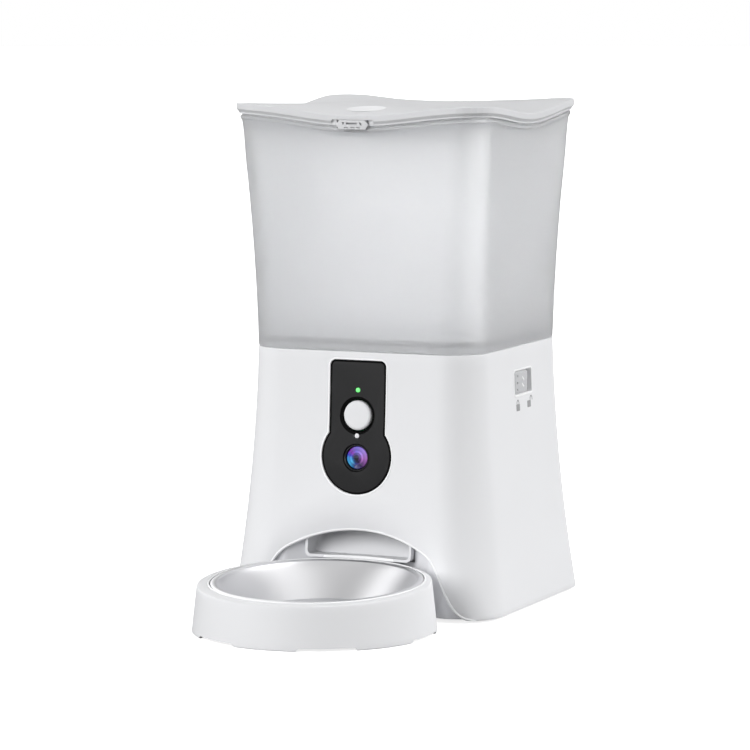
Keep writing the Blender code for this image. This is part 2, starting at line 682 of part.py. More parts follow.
def make_batteries():
    """Three D cells side by side in an open-bottomed box, with springs and a strip."""
    wall = 0.0016
    half_x = 0.0345
    front = CELL_Y - CELL_PITCH - CELL_R - 0.0010
    back = CELL_Y + CELL_PITCH + CELL_R + 0.0010
    roof = CELL_Z + CELL_R + 0.0012
    shell = link("battery_box", box_mesh((-half_x - wall, front - wall, 0.0058),
                                         (half_x + wall, back + wall, roof + wall)),
                 "white_abs")
    boolean(shell, "DIFFERENCE", cutter(box_mesh((-half_x, front, 0.0),
                                                 (half_x, back, roof))))
    for i in range(3):
        side = 1 if i % 2 == 0 else -1
        y = CELL_Y + (i - 1) * CELL_PITCH
        body = CELL_LENGTH - 0.0018
        cell = turned_mesh([(0.0, body / 2 + 0.0018), (0.0048, body / 2 + 0.0018),
                            (0.0048, body / 2), (CELL_R - 0.0008, body / 2),
                            (CELL_R, body / 2 - 0.0008), (CELL_R, -body / 2 + 0.0008),
                            (CELL_R - 0.0008, -body / 2), (0.0, -body / 2)], 24)
        link(f"battery_cell_{i + 1}", cell, "cell_wrap", (side * 0.0030, y, CELL_Z),
             (0, side * math.radians(90.0), 0))
        wire = bpy.data.curves.new("spring", "CURVE")
        wire.dimensions = "3D"
        wire.bevel_depth = 0.0004
        wire.bevel_resolution = 1
        wire.use_fill_caps = True
        spline = wire.splines.new("POLY")
        points = coil_points(2.5, 0.0060, 0.0030, 0.0052)
        spline.points.add(len(points) - 1)
        for point, (x, py, pz) in zip(spline.points, points):
            point.co = (x, py, pz, 1.0)
        spring = bpy.data.objects.new(f"contact_spring_{i + 1}", wire)
        spring.location = (-side * 0.0336, y, CELL_Z)
        spring.rotation_euler = (0, 0, 0 if side > 0 else math.pi)
        spring.parent = BODY
        wire.materials.append(material("spring_steel"))
        PARTS.objects.link(spring)
    door = plate_mesh([(-0.0326, -0.0258), (0.0326, -0.0258), (0.0326, 0.0740),
                       (-0.0326, 0.0740)], 0.0026, 0.0050)
    link("battery_door", door, "white_abs")


def make_feet_and_screws():
    """Rubber feet under the bottom plate and the screws that hold it."""
    for name, x, y in (("front_left", -1, -0.0470), ("front_right", 1, -0.0470),
                       ("rear_left", -1, 0.0640), ("rear_right", 1, 0.0640)):
        foot = turned_mesh([(0.0, 0.0027), (0.0075, 0.0027), (0.0075, 0.0008),
                            (0.0068, 0.0), (0.0, 0.0)], 24)
        link(f"foot_{name}", foot, "grey_rubber", (x * 0.0640, y, 0))
    screw = turned_mesh([(0.0, 0.0160), (0.0008, 0.0160), (0.0013, 0.0140),
                         (0.0013, 0.0027), (0.0028, 0.0027), (0.0028, 0.0018),
                         (0.0020, 0.0010), (0.0, 0.0010)], 12)
    for name, x, y in (("front_left", -1, -0.0380), ("front_right", 1, -0.0380),
                       ("rear_left", -1, 0.0500), ("rear_right", 1, 0.0500)):
        link(f"bottom_screw_{name}", screw.copy(), "satin_steel", (x * 0.0805, y, 0))


# ---------------------------------------------------------------- hopper
def waved_ring(half, radius, drop, z=None, share=1.0):
    """A lid-shaped ring: below the waved edge by a drop, or part way to a level."""
    ring = []
    for x, y in square(half, radius, 4, 4):
        edge = lid_edge(x, y) - drop
        height = edge if z is None else z + (edge - z) * share
        ring.append((x, y, height))
    return ring


def make_hopper():
    """Frosted tank wall: a spigot for the base, the flared wall, the rim band."""
    spigot = half_width(WAIST_Z) - BASE_WALL - 0.0006
    spigot_r = corner_radius(WAIST_Z) - BASE_WALL
    seam = WAIST_Z + GAP / 2

    def flat(half, radius, z):
        return [(x, y, z) for x, y in square(half, radius, 4, 4)]

    rings = [flat(spigot, spigot_r, DECK_Z + 0.0060), flat(spigot, spigot_r, seam),
             flat(half_width(seam), corner_radius(seam), seam)]
    for z in levels(seam, 0.2750, 5)[1:]:
        rings.append(flat(half_width(z), corner_radius(z), z))
    rings.append(waved_ring(half_width(0.290), corner_radius(0.290), 0.0180, 0.290, 0.6))
    rings.append(waved_ring(half_width(0.299), corner_radius(0.299), 0.0098))
    band = half_width(0.300) + 0.0006
    rings.append(waved_ring(band, RIM_CORNER + 0.0006, 0.0094))
    rings.append(waved_ring(band, RIM_CORNER + 0.0006, 0.0066))
    hopper = link("hopper", loft_mesh(rings), "frosted_clear")
    solidify(hopper, HOPPER_WALL)
    return hopper


def make_funnel():
    """Sloped hopper floor: square at the wall, round at the rotor housing."""
    top_z = 0.1700
    low_z = 0.1556
    inset = HOPPER_WALL + GAP * 2
    top = square(half_width(top_z) - inset, corner_radius(top_z) - inset, 6, 2)
    count = len(top)
    start = math.atan2(top[0][1], top[0][0])
    mouth = HOUSING_R - 0.0024
    rings = []
    for t in (0.0, 0.35, 0.70, 1.0):
        ring = []
        for i, (x, y) in enumerate(top):
            a = start + 2 * math.pi * i / count
            cx = mouth * math.cos(a)
            cy = mouth * math.sin(a)
            ring.append((cx + (x - cx) * t, cy + (y - cy) * t,
                         low_z + (top_z - low_z) * t))
        rings.append(ring)
    funnel = link("hopper_funnel", loft_mesh(rings), "white_abs")
    solidify(funnel, 0.0018, 1.0)
    return funnel


def make_housing():
    """Round cup for the rotor, hung from its flange on the deck, open at the outlet."""
    wall = 0.0020
    floor = HOUSING_FLOOR_Z
    flange_low = DECK_Z + DECK_THICK + GAP
    cup = turned_mesh([(HOUSING_R - wall, 0.1552), (0.0580, 0.1552), (0.0580, flange_low),
                       (HOUSING_R, flange_low), (HOUSING_R, floor), (0.0060, floor),
                       (0.0060, floor + wall), (HOUSING_R - wall, floor + wall),
                       (HOUSING_R - wall, 0.1552)], 40)
    housing = link("rotor_housing", cup, "white_abs")
    outlet = []
    for i in range(7):
        a = math.radians(-90.0 - 26.0 + 52.0 * i / 6)
        outlet.append((0.0480 * math.cos(a), 0.0480 * math.sin(a)))
    for i in range(7):
        a = math.radians(-90.0 + 26.0 - 52.0 * i / 6)
        outlet.append((0.0240 * math.cos(a), 0.0240 * math.sin(a)))
    boolean(housing, "DIFFERENCE", cutter(plate_mesh(outlet, floor - 0.01, floor + 0.01)))
    shield = []
    for i in range(9):
        a = math.radians(-90.0 - 38.0 + 76.0 * i / 8)
        shield.append(((HOUSING_R - wall - GAP) * math.cos(a),
                       (HOUSING_R - wall - GAP) * math.sin(a)))
    for i in range(5):
        a = math.radians(-90.0 + 38.0 - 76.0 * i / 4)
        shield.append((0.0150 * math.cos(a), 0.0150 * math.sin(a)))
    link("outlet_shield", plate_mesh(shield, 0.1475, 0.1490), "white_silicone")


def make_keeper():
    """Lug under the hopper floor that the lock's bolt catches."""
    keeper = link("lock_keeper", box_mesh((0.0620, -0.0240, LOCK_Z - 0.0005),
                                          (0.0675, -0.0174, 0.1605)), "white_abs")
    return keeper


def make_rotor():
    """Six-bladed soft rotor on a hub with a dog socket, and the stirrer on top."""
    hub = 0.0100
    half_blade = 0.0011
    outline = []
    for blade in range(6):
        a = math.radians(60.0 * blade + 30.0)
        side = math.asin(half_blade / hub)
        tip = math.asin(half_blade / ROTOR_R)
        for radius, share in ((hub, -side), (ROTOR_R, -tip), (ROTOR_R, tip), (hub, side)):
            outline.append((radius * math.cos(a + share), radius * math.sin(a + share)))
        outline.append((hub * math.cos(a + math.radians(30.0)),
                        hub * math.sin(a + math.radians(30.0))))
    rotor = link("rotor", plate_mesh(outline, 0.1130, 0.1460), "white_silicone")
    boolean(rotor, "DIFFERENCE", cutter(rod_mesh(0.0047, 0.1000, 0.1240, 6)))
    stirrer = link("stirrer", turned_mesh([(0.0, 0.1680), (0.0030, 0.1670),
                                           (0.0110, 0.1500), (0.0110, 0.1463),
                                           (0.0, 0.1463)], 24), "white_abs")
    arm = rod_mesh(0.0018, -0.0280, 0.0280, 10)
    boolean(stirrer, "UNION", cutter(arm, (0, 0, 0.1560), (0, math.radians(90.0), 0)))


# ---------------------------------------------------------------- lid
def make_lid():
    """Waved square lid with a skirt, a plug rim and a thumb dimple."""
    def crown(x, y, share):
        """Height of the top surface: the waved edge blends into a flat crown."""
        u = min(max(share, 0.0), 1.0) ** 4
        return lid_edge(x, y) * u + LID_CROWN_Z * (1 - u)

    def face(share, drop):
        ring = []
        for x, y in square(LID_HALF - 0.0006, LID_CORNER - 0.0006, 4, 4):
            height = crown(x, y, share)
            ring.append((x * share, y * share, height - drop))
        return ring

    def side(half, drop):
        return waved_ring(half, LID_CORNER - (LID_HALF - half), drop)

    plug = half_width(0.2900) - HOPPER_WALL - 0.0016
    rings = [[(0, 0, LID_CROWN_Z)]]
    rings += [face(share, 0.0) for share in (0.35, 0.65, 0.82, 0.92, 1.0)]
    rings += [side(LID_HALF, 0.0006), side(LID_HALF, LID_SKIRT),
              side(LID_HALF - LID_CHAMFER, LID_SKIRT + LID_CHAMFER),
              side(LID_HALF - 0.0036, LID_SKIRT + LID_CHAMFER),
              side(LID_HALF - 0.0036, LID_THICK + 0.0014),
              side(plug, LID_THICK + 0.0014), side(plug, 0.0130),
              side(plug - 0.0016, 0.0130)]
    inner = (plug - 0.0016) / (LID_HALF - 0.0006)
    rings += [face(share, LID_THICK) for share in (inner, 0.82, 0.65, 0.35)]
    rings += [[(0, 0, LID_CROWN_Z - LID_THICK)]]
    lid = link("lid", loft_mesh(rings), "frosted_clear")
    # a large ball pressed square to the sloping top
    top = crown(0, -LID_HALF, -DIMPLE_Y / LID_HALF)
    slope = (top - crown(0, -LID_HALF, 0.001 - DIMPLE_Y / LID_HALF)) / (0.001 * LID_HALF)
    out = Vector((0.0, -slope, 1.0)).normalized()
    ball_r = (DIMPLE_R ** 2 + DIMPLE_DEPTH ** 2) / (2 * DIMPLE_DEPTH)
    ball = bmesh.new()
    bmesh.ops.create_uvsphere(ball, u_segments=48, v_segments=60, radius=ball_r)
    dimple = cutter(finish_mesh(ball, "ball"),
                    Vector((0.0, DIMPLE_Y, top)) + out * (ball_r - DIMPLE_DEPTH))
    notch = box_mesh((-0.0107, -0.0900, 0.2950), (0.0107, -0.0828, 0.3053))
    boolean(lid, "DIFFERENCE", dimple, cutter(notch))
    seal_out = half_width(0.2900) - HOPPER_WALL - GAP
    seal_in = plug + GAP
    seal = [waved_ring(seal_out, LID_CORNER - (LID_HALF - seal_out), 0.0100),
            waved_ring(seal_out, LID_CORNER - (LID_HALF - seal_out), 0.0118),
            waved_ring(seal_in, LID_CORNER - (LID_HALF - seal_in), 0.0118),
            waved_ring(seal_in, LID_CORNER - (LID_HALF - seal_in), 0.0100)]
    link("lid_gasket", loft_mesh(seal, closed=True), "white_silicone")


def make_latch():
    """Front buckle of the lid, swinging on a pin across the skirt's notch."""
    pivot = (0.0, -0.0848, 0.3040)
    outline = [(-0.0090, 0.0007), (0.0090, 0.0007), (0.0102, -0.0006), (0.0102, -0.0036),
               (0.0086, -0.0052), (-0.0086, -0.0052), (-0.0102, -0.0036),
               (-0.0102, -0.0006)]
    window = [(-0.0060, -0.0014), (0.0060, -0.0014), (0.0068, -0.0034),
              (-0.0068, -0.0034)]
    latch = link("lid_latch", upright(outline, -0.0012, 0.0009, [window]),
                 "frosted_clear", pivot)
    boolean(latch, "DIFFERENCE", cutter(rod_mesh(0.00085, -0.02, 0.02, 12), pivot,
                                        (0, math.radians(90.0), 0)))
    link("latch_pin", rod_mesh(0.0005, -0.0105, 0.0105, 10), "satin_steel", pivot,
         (0, math.radians(90.0), 0))


def make_desiccant():
    """Round desiccant holder under the lid with its twist cover."""
    top = LID_CROWN_Z - LID_THICK - GAP
    cup = turned_mesh([(0.0250, top), (0.0268, top), (0.0268, top - 0.0150),
                       (0.0250, top - 0.0150), (0.0250, top)], 36)
    link("desiccant_cup", cup, "white_abs")
    low = top - 0.0150 - GAP
    cover = turned_mesh([(0.0, low), (0.0280, low), (0.0285, low - 0.0006),
                         (0.0285, low - 0.0022), (0.0, low - 0.0022)], 36)
    lid = link("desiccant_cover", cover, "white_abs")
    boolean(lid, "DIFFERENCE", cutter(box_mesh((-0.0110, -0.0015, low - 0.0100),
                                               (0.0110, 0.0015, low + 0.0100))))


# ---------------------------------------------------------------- tray and bowl
def make_tray():
    """Round tray: a coned wall, a top that tips to the front, a seat for the bowl."""
    tall = 0.0450
    lean = (TRAY_R_FOOT - TRAY_R_TOP) / TRAY_TOP_Z
    r_tall = TRAY_R_FOOT - lean * tall
    tray = link("bowl_tray", turned_mesh([(0.0, tall), (r_tall, tall), (TRAY_R_FOOT, 0.0),
                                          (0.0, 0.0)], 48), "white_abs", (0, TRAY_Y, 0))
    tip = (TRAY_TILT, 0, 0)
    wide = 0.100
    above = box_mesh((-wide, -wide, 0.0), (wide, wide, 0.060))
    boolean(tray, "DIFFERENCE", cutter(above, (0, TRAY_Y, TRAY_TOP_Z), tip))
    seat_r = BOWL_R + 0.0010
    seat = turned_mesh([(0.0, 0.010), (seat_r, 0.010), (seat_r, -0.0016),
                        (0.0612, -0.0016), (0.0612, -0.0060), (0.0600, -0.0400),
                        (0.0, -0.0400)], 48)
    boolean(tray, "DIFFERENCE", cutter(seat, (0, BOWL_Y, BOWL_RIM_Z), tip))
    hollow = rod_mesh(TRAY_R_FOOT - 0.0024, -0.0100, 0.0215, 48, TRAY_R_TOP - 0.0018)
    boolean(tray, "DIFFERENCE", cutter(hollow, (0, TRAY_Y, 0)))
    tongue = box_mesh((-0.0200, -0.0830, 0.0024), (0.0200, -0.0500, 0.0052))
    boolean(tray, "UNION", cutter(tongue))
    for i in range(3):
        slot = box_mesh((-wide, -0.0172, -0.0100), (wide, 0.0172, TRAY_FOOT_GAP))
        boolean(tray, "DIFFERENCE",
                cutter(slot, (0, TRAY_Y, 0), (0, 0, math.radians(60.0 * i))))
    return tray


def make_bowl():
    """Spun steel bowl: a flat rim, a sloped wall and a flat floor."""
    steel = 0.0009
    wall_r = 0.0596
    arc = []
    for i in range(5):
        t = i / 4
        radius = wall_r + (BOWL_FLOOR_R - wall_r) * t
        arc.append((radius, -0.0012 - (BOWL_DEPTH - 0.0012) * (t ** 0.75)))
    # the outside of the wall lies one sheet thickness out along the wall's normal
    outside = []
    for before, (r, z), after in zip(arc, arc[1:], arc[2:]):
        run = Vector((after[0] - before[0], after[1] - before[1])).normalized()
        outside.append((r - steel * run.y, z + steel * run.x))
    top_side = [(0.0, -BOWL_DEPTH)] + [(r, z) for r, z in reversed(arc)]
    top_side += [(0.0606, 0.0), (BOWL_R - 0.0008, 0.0002), (BOWL_R, -0.0003)]
    under = [(BOWL_R, -0.0009), (wall_r + 0.0014, -0.0009)]
    under += outside
    under += [(BOWL_FLOOR_R + 0.0003, -BOWL_DEPTH - steel), (0.0, -BOWL_DEPTH - steel)]
    link("steel_bowl", turned_mesh(top_side + under, 44), "satin_steel",
         (0, BOWL_Y, BOWL_RIM_Z), (TRAY_TILT, 0, 0))


make_base_shell()
make_base_bottom()
make_bowl_bay()
make_chute()
make_panel()
make_panel_pieces()
make_lock()
make_drive()
make_electronics()
make_batteries()
make_feet_and_screws()
make_hopper()
make_funnel()
make_housing()
make_keeper()
make_rotor()
make_lid()
make_latch()
make_desiccant()
make_tray()
make_bowl()
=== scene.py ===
"""Looks of the automatic pet feeder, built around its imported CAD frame.

Metres, +Z up. Shapes are made in the tower's own frame (x right, y back, z up from the
surface it stands on) and moved to the row frame by the tower's axis, which comes from
the CAD boxes. The feeder faces -Y.
"""

import math

import bmesh
import bpy
from mathutils import Matrix, Vector


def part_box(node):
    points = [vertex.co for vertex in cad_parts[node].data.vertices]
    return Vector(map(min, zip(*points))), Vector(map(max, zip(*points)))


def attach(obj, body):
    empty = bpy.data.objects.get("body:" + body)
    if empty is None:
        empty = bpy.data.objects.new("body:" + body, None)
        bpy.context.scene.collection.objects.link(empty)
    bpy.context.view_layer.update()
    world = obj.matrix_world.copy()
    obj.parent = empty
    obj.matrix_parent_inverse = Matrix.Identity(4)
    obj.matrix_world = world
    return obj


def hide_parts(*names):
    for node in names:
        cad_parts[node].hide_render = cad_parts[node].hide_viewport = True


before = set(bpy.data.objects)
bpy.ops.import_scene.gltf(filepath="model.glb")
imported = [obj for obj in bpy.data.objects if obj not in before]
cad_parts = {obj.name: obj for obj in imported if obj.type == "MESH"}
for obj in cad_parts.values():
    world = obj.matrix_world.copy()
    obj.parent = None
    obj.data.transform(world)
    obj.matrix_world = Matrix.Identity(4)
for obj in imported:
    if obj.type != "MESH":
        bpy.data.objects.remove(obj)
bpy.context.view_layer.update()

# ---------------------------------------------------------------- sizes from the frame
base_low, base_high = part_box("base_shell")
hopper_low, hopper_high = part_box("hopper")
lid_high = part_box("lid")[1]
tray_low, tray_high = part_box("bowl_tray")
bowl_low, bowl_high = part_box("steel_bowl")
AXIS_Y = (hopper_low.y + hopper_high.y) / 2
MOVE = Matrix.Translation((0.0, AXIS_Y, 0.0))

GAP = 0.0003
FOOT_Z = base_low.z
SEAM_Z = base_high.z + GAP / 2
WAIST_HALF = 0.0760
BASE_FLARE = base_high.x - WAIST_HALF
RIM_Z = 0.305
HOPPER_FLARE = 0.0075
FOOT_CORNER = 0.0306
WAIST_CORNER = 0.0237
RIM_CORNER = 0.0210
BASE_WALL = 0.0024
HOPPER_WALL = 0.0020

LID_HALF = lid_high.x
LID_CORNER = 0.0220
LID_EDGE_MEAN = 0.3095
LID_EDGE_WAVE = 0.0032
LID_WAVE_HALF = 0.080
LID_CROWN_Z = 0.3113
LID_THICK = 0.0022
LID_SKIRT = 0.0040
LID_CHAMFER = 0.0016
DIMPLE_Y = -0.0640
DIMPLE_R = 0.0122
DIMPLE_DEPTH = 0.0017

PANEL_HALF = 0.01835
PANEL_TOP = 0.1565
PANEL_EYE_Z = 0.0978
PANEL_EYE_R = 0.0230
LIGHT_Z = 0.1385
BUTTON_Z = 0.1230
BUTTON_R = 0.00915
WINDOW_Z = 0.1105
LENS_Z = 0.0970
LENS_R = 0.0071

LOCK_Z = 0.13905
LOCK_SLOT = (-0.0110, 0.0175)
LOCK_KNOB = 0.0213
LOCK_HEIGHT = 0.0147

TRAY_R_FOOT = (tray_high.x - tray_low.x) / 2
TRAY_Y = tray_low.y + TRAY_R_FOOT - AXIS_Y
TRAY_R_TOP = 0.0705
TRAY_TOP_Z = 0.0297
TRAY_TILT = math.radians(2.9)
TRAY_FOOT_GAP = 0.0017
BOWL_Y = -0.1380
BOWL_R = (bowl_high.x - bowl_low.x) / 2 - 0.0007
BOWL_RIM_Z = 0.0300
BOWL_DEPTH = 0.0205
BOWL_FLOOR_R = 0.0440
BOWL_PLACE = ((0, BOWL_Y, BOWL_RIM_Z), (TRAY_TILT, 0, 0))
FINE = 160                  # steps round the big cuts

BROW_RISE = 0.0240
BROW_DEPTH = 0.0074
CHUTE_HALF = 0.0355
CHUTE_LIP_Z = 0.0354
CHUTE_WALL = 0.0016
BAY_R = 0.0780
ROTOR_R = 0.0485
HOUSING_R = 0.0520
HOUSING_FLOOR_Z = 0.110
DECK_Z = 0.150
DECK_THICK = 0.0024
INLET_X = -0.0450
INLET_Z = 0.0300
SCREW_X = 0.0805
SCREW_Y = (-0.0380, 0.0500)
GEAR_MODULE = 0.00125
GEAR_Z = (0.0980, 0.1040)


# ---------------------------------------------------------------- materials
def adder(tree):
    """A maker of nodes in a tree; its keywords are sockets (From_Min) or settings."""
    def add(kind, **values):
        node = tree.nodes.new(kind)
        for key, value in values.items():
            socket = key.replace("_", " ")
            if socket in node.inputs:
                node.inputs[socket].default_value = value
            else:
                setattr(node, key, value)
        return node

    return add


def parts_of(made):
    """A material's node tree, its node maker and its Principled shader."""
    tree = made.node_tree
    return tree, adder(tree), tree.nodes["Principled BSDF"]


def new_material(name):
    """A new material with its tree, node maker and shader."""
    made = bpy.data.materials.new(name)
    made.use_nodes = True
    return made, *parts_of(made)


def noise_in(tree, add, scale, detail=2.0, stretch=None):
    """Noise over object coordinates, optionally stretched along an axis."""
    place = add("ShaderNodeTexCoord")
    source = place.outputs["Object"]
    if stretch:
        mapping = add("ShaderNodeMapping", Scale=stretch)
        tree.links.new(source, mapping.inputs["Vector"])
        source = mapping.outputs["Vector"]
    noise = add("ShaderNodeTexNoise", Scale=scale, Detail=detail)
    tree.links.new(source, noise.inputs["Vector"])
    return noise


def finish(name, colour, roughness, metallic=0.0, grain=900.0, relief=0.02,
           vary=0.03, tone=0.985, stretch=None, **sockets):
    """A surface with fine grain, a slow change of gloss and a faint change of tone."""
    made, tree, add, shader = new_material(name)
    shader.inputs["Metallic"].default_value = metallic
    for key, value in sockets.items():
        shader.inputs[key.replace("_", " ")].default_value = value
    slow = noise_in(tree, add, 28.0)
    gloss = add("ShaderNodeMapRange", From_Min=0.3, From_Max=0.7,
                To_Min=roughness - vary, To_Max=roughness + vary)
    tree.links.new(slow.outputs["Fac"], gloss.inputs["Value"])
    tree.links.new(gloss.outputs["Result"], shader.inputs["Roughness"])
    mix = add("ShaderNodeMix", data_type="RGBA",
              A=(*[c * tone for c in colour], 1.0), B=(*colour, 1.0))
    tree.links.new(slow.outputs["Fac"], mix.inputs["Factor"])
    tree.links.new(mix.outputs["Result"], shader.inputs["Base Color"])
    fine = noise_in(tree, add, grain, 3.0, stretch)
    bump = add("ShaderNodeBump", Strength=relief * 10, Distance=0.0001)
    tree.links.new(fine.outputs["Fac"], bump.inputs["Height"])
    tree.links.new(bump.outputs["Normal"], shader.inputs["Normal"])
    return made


def paint_shade_below(made, low, high, share):
    """Paint shade on a surface: darken it by a share from one level down to another."""
    tree, add, shader = parts_of(made)
    place = add("ShaderNodeTexCoord")
    split = add("ShaderNodeSeparateXYZ")
    tree.links.new(place.outputs["Object"], split.inputs["Vector"])
    fade = add("ShaderNodeMapRange", interpolation_type="SMOOTHSTEP", From_Min=low,
               From_Max=high, To_Min=share, To_Max=1.0)
    tree.links.new(split.outputs["Z"], fade.inputs["Value"])
    scale = add("ShaderNodeVectorMath", operation="SCALE")
    tree.links.new(shader.inputs["Base Color"].links[0].from_socket, scale.inputs[0])
    tree.links.new(fade.outputs["Result"], scale.inputs["Scale"])
    tree.links.new(scale.outputs["Vector"], shader.inputs["Base Color"])


def absorb(made, density):
    """Make a clear wall darker the further light runs inside it."""
    tree, add, shader = parts_of(made)
    volume = add("ShaderNodeVolumeAbsorption", Color=(0.02, 0.02, 0.03, 1.0),
                 Density=density)
    tree.links.new(volume.outputs["Volume"],
                   tree.nodes["Material Output"].inputs["Volume"])


def lens_painted_reflections():
    """Coated glass with painted reflections: hues go round the axis, and rings of painted
    glints darken towards the pupil.
    """
    made, tree, add, shader = new_material("lens_painted_reflections")
    spot, turn = front_place(LENS_Z)
    place = add("ShaderNodeTexCoord")
    mapping = add("ShaderNodeMapping", vector_type="TEXTURE", Rotation=turn,
                  Location=(spot.x, spot.y + AXIS_Y, spot.z),
                  Scale=(LENS_R, LENS_R, LENS_R))
    tree.links.new(place.outputs["Object"], mapping.inputs["Vector"])
    around = add("ShaderNodeTexGradient", gradient_type="RADIAL")
    tree.links.new(mapping.outputs["Vector"], around.inputs["Vector"])
    hue = add("ShaderNodeValToRGB")
    set_ramp(hue, ((0.00, (0.05, 0.30, 0.75)), (0.10, (0.06, 0.45, 0.80)),
                   (0.22, (0.01, 0.02, 0.22)), (0.34, (0.05, 0.01, 0.12)),
                   (0.48, (0.48, 0.16, 0.62)), (0.62, (0.42, 0.26, 0.90)),
                   (0.76, (0.20, 0.16, 0.72)), (0.88, (0.22, 0.02, 0.42)),
                   (0.96, (0.04, 0.06, 0.60)), (1.00, (0.05, 0.30, 0.75))))
    tree.links.new(around.outputs["Fac"], hue.inputs["Fac"])
    length = add("ShaderNodeVectorMath", operation="LENGTH")
    flat = add("ShaderNodeVectorMath", operation="MULTIPLY")
    flat.inputs[1].default_value = (1.0, 1.0, 0.0)
    tree.links.new(mapping.outputs["Vector"], flat.inputs[0])
    tree.links.new(flat.outputs["Vector"], length.inputs[0])
    rings = add("ShaderNodeValToRGB")
    set_ramp(rings, ((0.00, (0.02, 0.02, 0.05)), (0.20, (0.02, 0.02, 0.06)),
                     (0.30, (0.25, 0.22, 0.35)), (0.40, (0.35, 0.32, 0.45)),
                     (0.50, (1.0, 1.0, 1.0)), (0.58, (1.0, 1.0, 1.0)),
                     (0.66, (0.60, 0.60, 0.65)), (0.92, (1.0, 1.0, 1.0)),
                     (1.00, (0.25, 0.25, 0.30))))
    tree.links.new(length.outputs["Value"], rings.inputs["Fac"])
    mix = add("ShaderNodeMix", data_type="RGBA", blend_type="MULTIPLY", Factor=1.0)
    tree.links.new(hue.outputs["Color"], mix.inputs["A"])
    tree.links.new(rings.outputs["Color"], mix.inputs["B"])
    tree.links.new(mix.outputs["Result"], shader.inputs["Base Color"])
    shader.inputs["Roughness"].default_value = 0.06
    shader.inputs["Coat Weight"].default_value = 1.0
    shader.inputs["Coat Roughness"].default_value = 0.03
    return made


def set_ramp(node, stops):
    """Set a colour ramp's stops."""
    ramp = node.color_ramp
    while len(ramp.elements) > 1:
        ramp.elements.remove(ramp.elements[-1])
    ramp.elements[0].position = stops[0][0]
    ramp.elements[0].color = (*stops[0][1], 1.0)
    for position, colour in stops[1:]:
        ramp.elements.new(position).color = (*colour, 1.0)


# ---------------------------------------------------------------- making and cutting
def mesh_of(bm, sharp=30.0):
    """A mesh from a bmesh, faces outward, smooth but for its sharp edges."""
    bmesh.ops.recalc_face_normals(bm, faces=bm.faces)
    mesh = bpy.data.meshes.new("piece")
    bm.to_mesh(mesh)
    bm.free()
    return shaded(mesh, sharp)


def shaded(mesh, sharp=30.0):
    """Smooth shading with edges over an angle kept sharp."""
    mesh.shade_smooth()
    mesh.set_sharp_from_angle(angle=math.radians(sharp))
    return mesh


def placed(mesh, location=(0, 0, 0), rotation=(0, 0, 0)):
    """Move a mesh's own points."""
    turn = Matrix.Rotation(rotation[2], 4, "Z") @ Matrix.Rotation(rotation[1], 4, "Y")
    turn = turn @ Matrix.Rotation(rotation[0], 4, "X")
    mesh.transform(Matrix.Translation(location) @ turn)
    return mesh


def evaluated(holder, others=()):
    """The mesh a temporary object evaluates to; the helpers are removed."""
    graph = bpy.context.evaluated_depsgraph_get()
    graph.update()
    mesh = bpy.data.meshes.new_from_object(holder.evaluated_get(graph))
    for helper in (holder, *others):
        bpy.data.objects.remove(helper, do_unlink=True)
    return mesh


def held(mesh):
    """A temporary object around a mesh."""
    holder = bpy.data.objects.new("holder", mesh)
    bpy.context.scene.collection.objects.link(holder)
    return holder


def carve(mesh, cuts=(), adds=(), meets=(), sharp=30.0):
    """A mesh after exact joins, intersections and cuts with other meshes."""
    holder = held(mesh)
    helpers = []
    for operation, tools in (("UNION", adds), ("INTERSECT", meets), ("DIFFERENCE", cuts)):
        for tool in tools:
            helper = held(tool)
            step = holder.modifiers.new(operation, "BOOLEAN")
            step.operation = operation
            step.solver = "EXACT"
            step.object = helper
            helpers.append(helper)
    return shaded(evaluated(holder, helpers), sharp)


def rounded(mesh, width, segments=3, angle=35.0):
    """Round the edges sharper than an angle."""
    holder = held(mesh)
    step = holder.modifiers.new("round", "BEVEL")
    step.width = width
    step.segments = segments
    step.limit_method = "ANGLE"
    step.angle_limit = math.radians(angle)
    return shaded(evaluated(holder), 40.0)


def block(low, high, round_r=0.0):
    """A box between two corners, its edges rounded if asked."""
    bm = bmesh.new()
    corners = [(x, y, z) for x in (low[0], high[0]) for y in (low[1], high[1])
               for z in (low[2], high[2])]
    v = [bm.verts.new(c) for c in corners]
    for face in ((0, 1, 3, 2), (4, 6, 7, 5), (0, 4, 5, 1), (2, 3, 7, 6), (0, 2, 6, 4),
                 (1, 5, 7, 3)):
        bm.faces.new([v[i] for i in face])
    mesh = mesh_of(bm)
    return rounded(mesh, round_r) if round_r else mesh


def loft(rings, closed=False, caps=False, sharp=30.0):
    """Skin equal rings of points; a ring of one point closes an end with a fan."""
    bm = bmesh.new()
    rows = [[bm.verts.new(point) for point in ring] for ring in rings]
    pairs = list(zip(rows, rows[1:]))
    if closed:
        pairs.append((rows[-1], rows[0]))
    for lower, upper in pairs:
        count = max(len(lower), len(upper))
        for i in range(count):
            j = (i + 1) % count
            if len(lower) == 1:
                bm.faces.new((lower[0], upper[j], upper[i]))
            elif len(upper) == 1:
                bm.faces.new((lower[i], lower[j], upper[0]))
            else:
                bm.faces.new((lower[i], lower[j], upper[j], upper[i]))
    if caps:
        bm.faces.new(rows[0])
        bm.faces.new(rows[-1])
    return mesh_of(bm, sharp)


def turned(profile, steps=96, sharp=30.0):
    """Turn a profile of (radius, z) points about Z."""
    closed = profile[0] == profile[-1]
    points = profile[:-1] if closed else profile
    rings = []
    for r, z in points:
        if r == 0.0:
            rings.append([(0.0, 0.0, z)])
        else:
            rings.append([(x, y, z) for x, y in circle(r, steps)])
    return loft(rings, closed=closed, sharp=sharp)


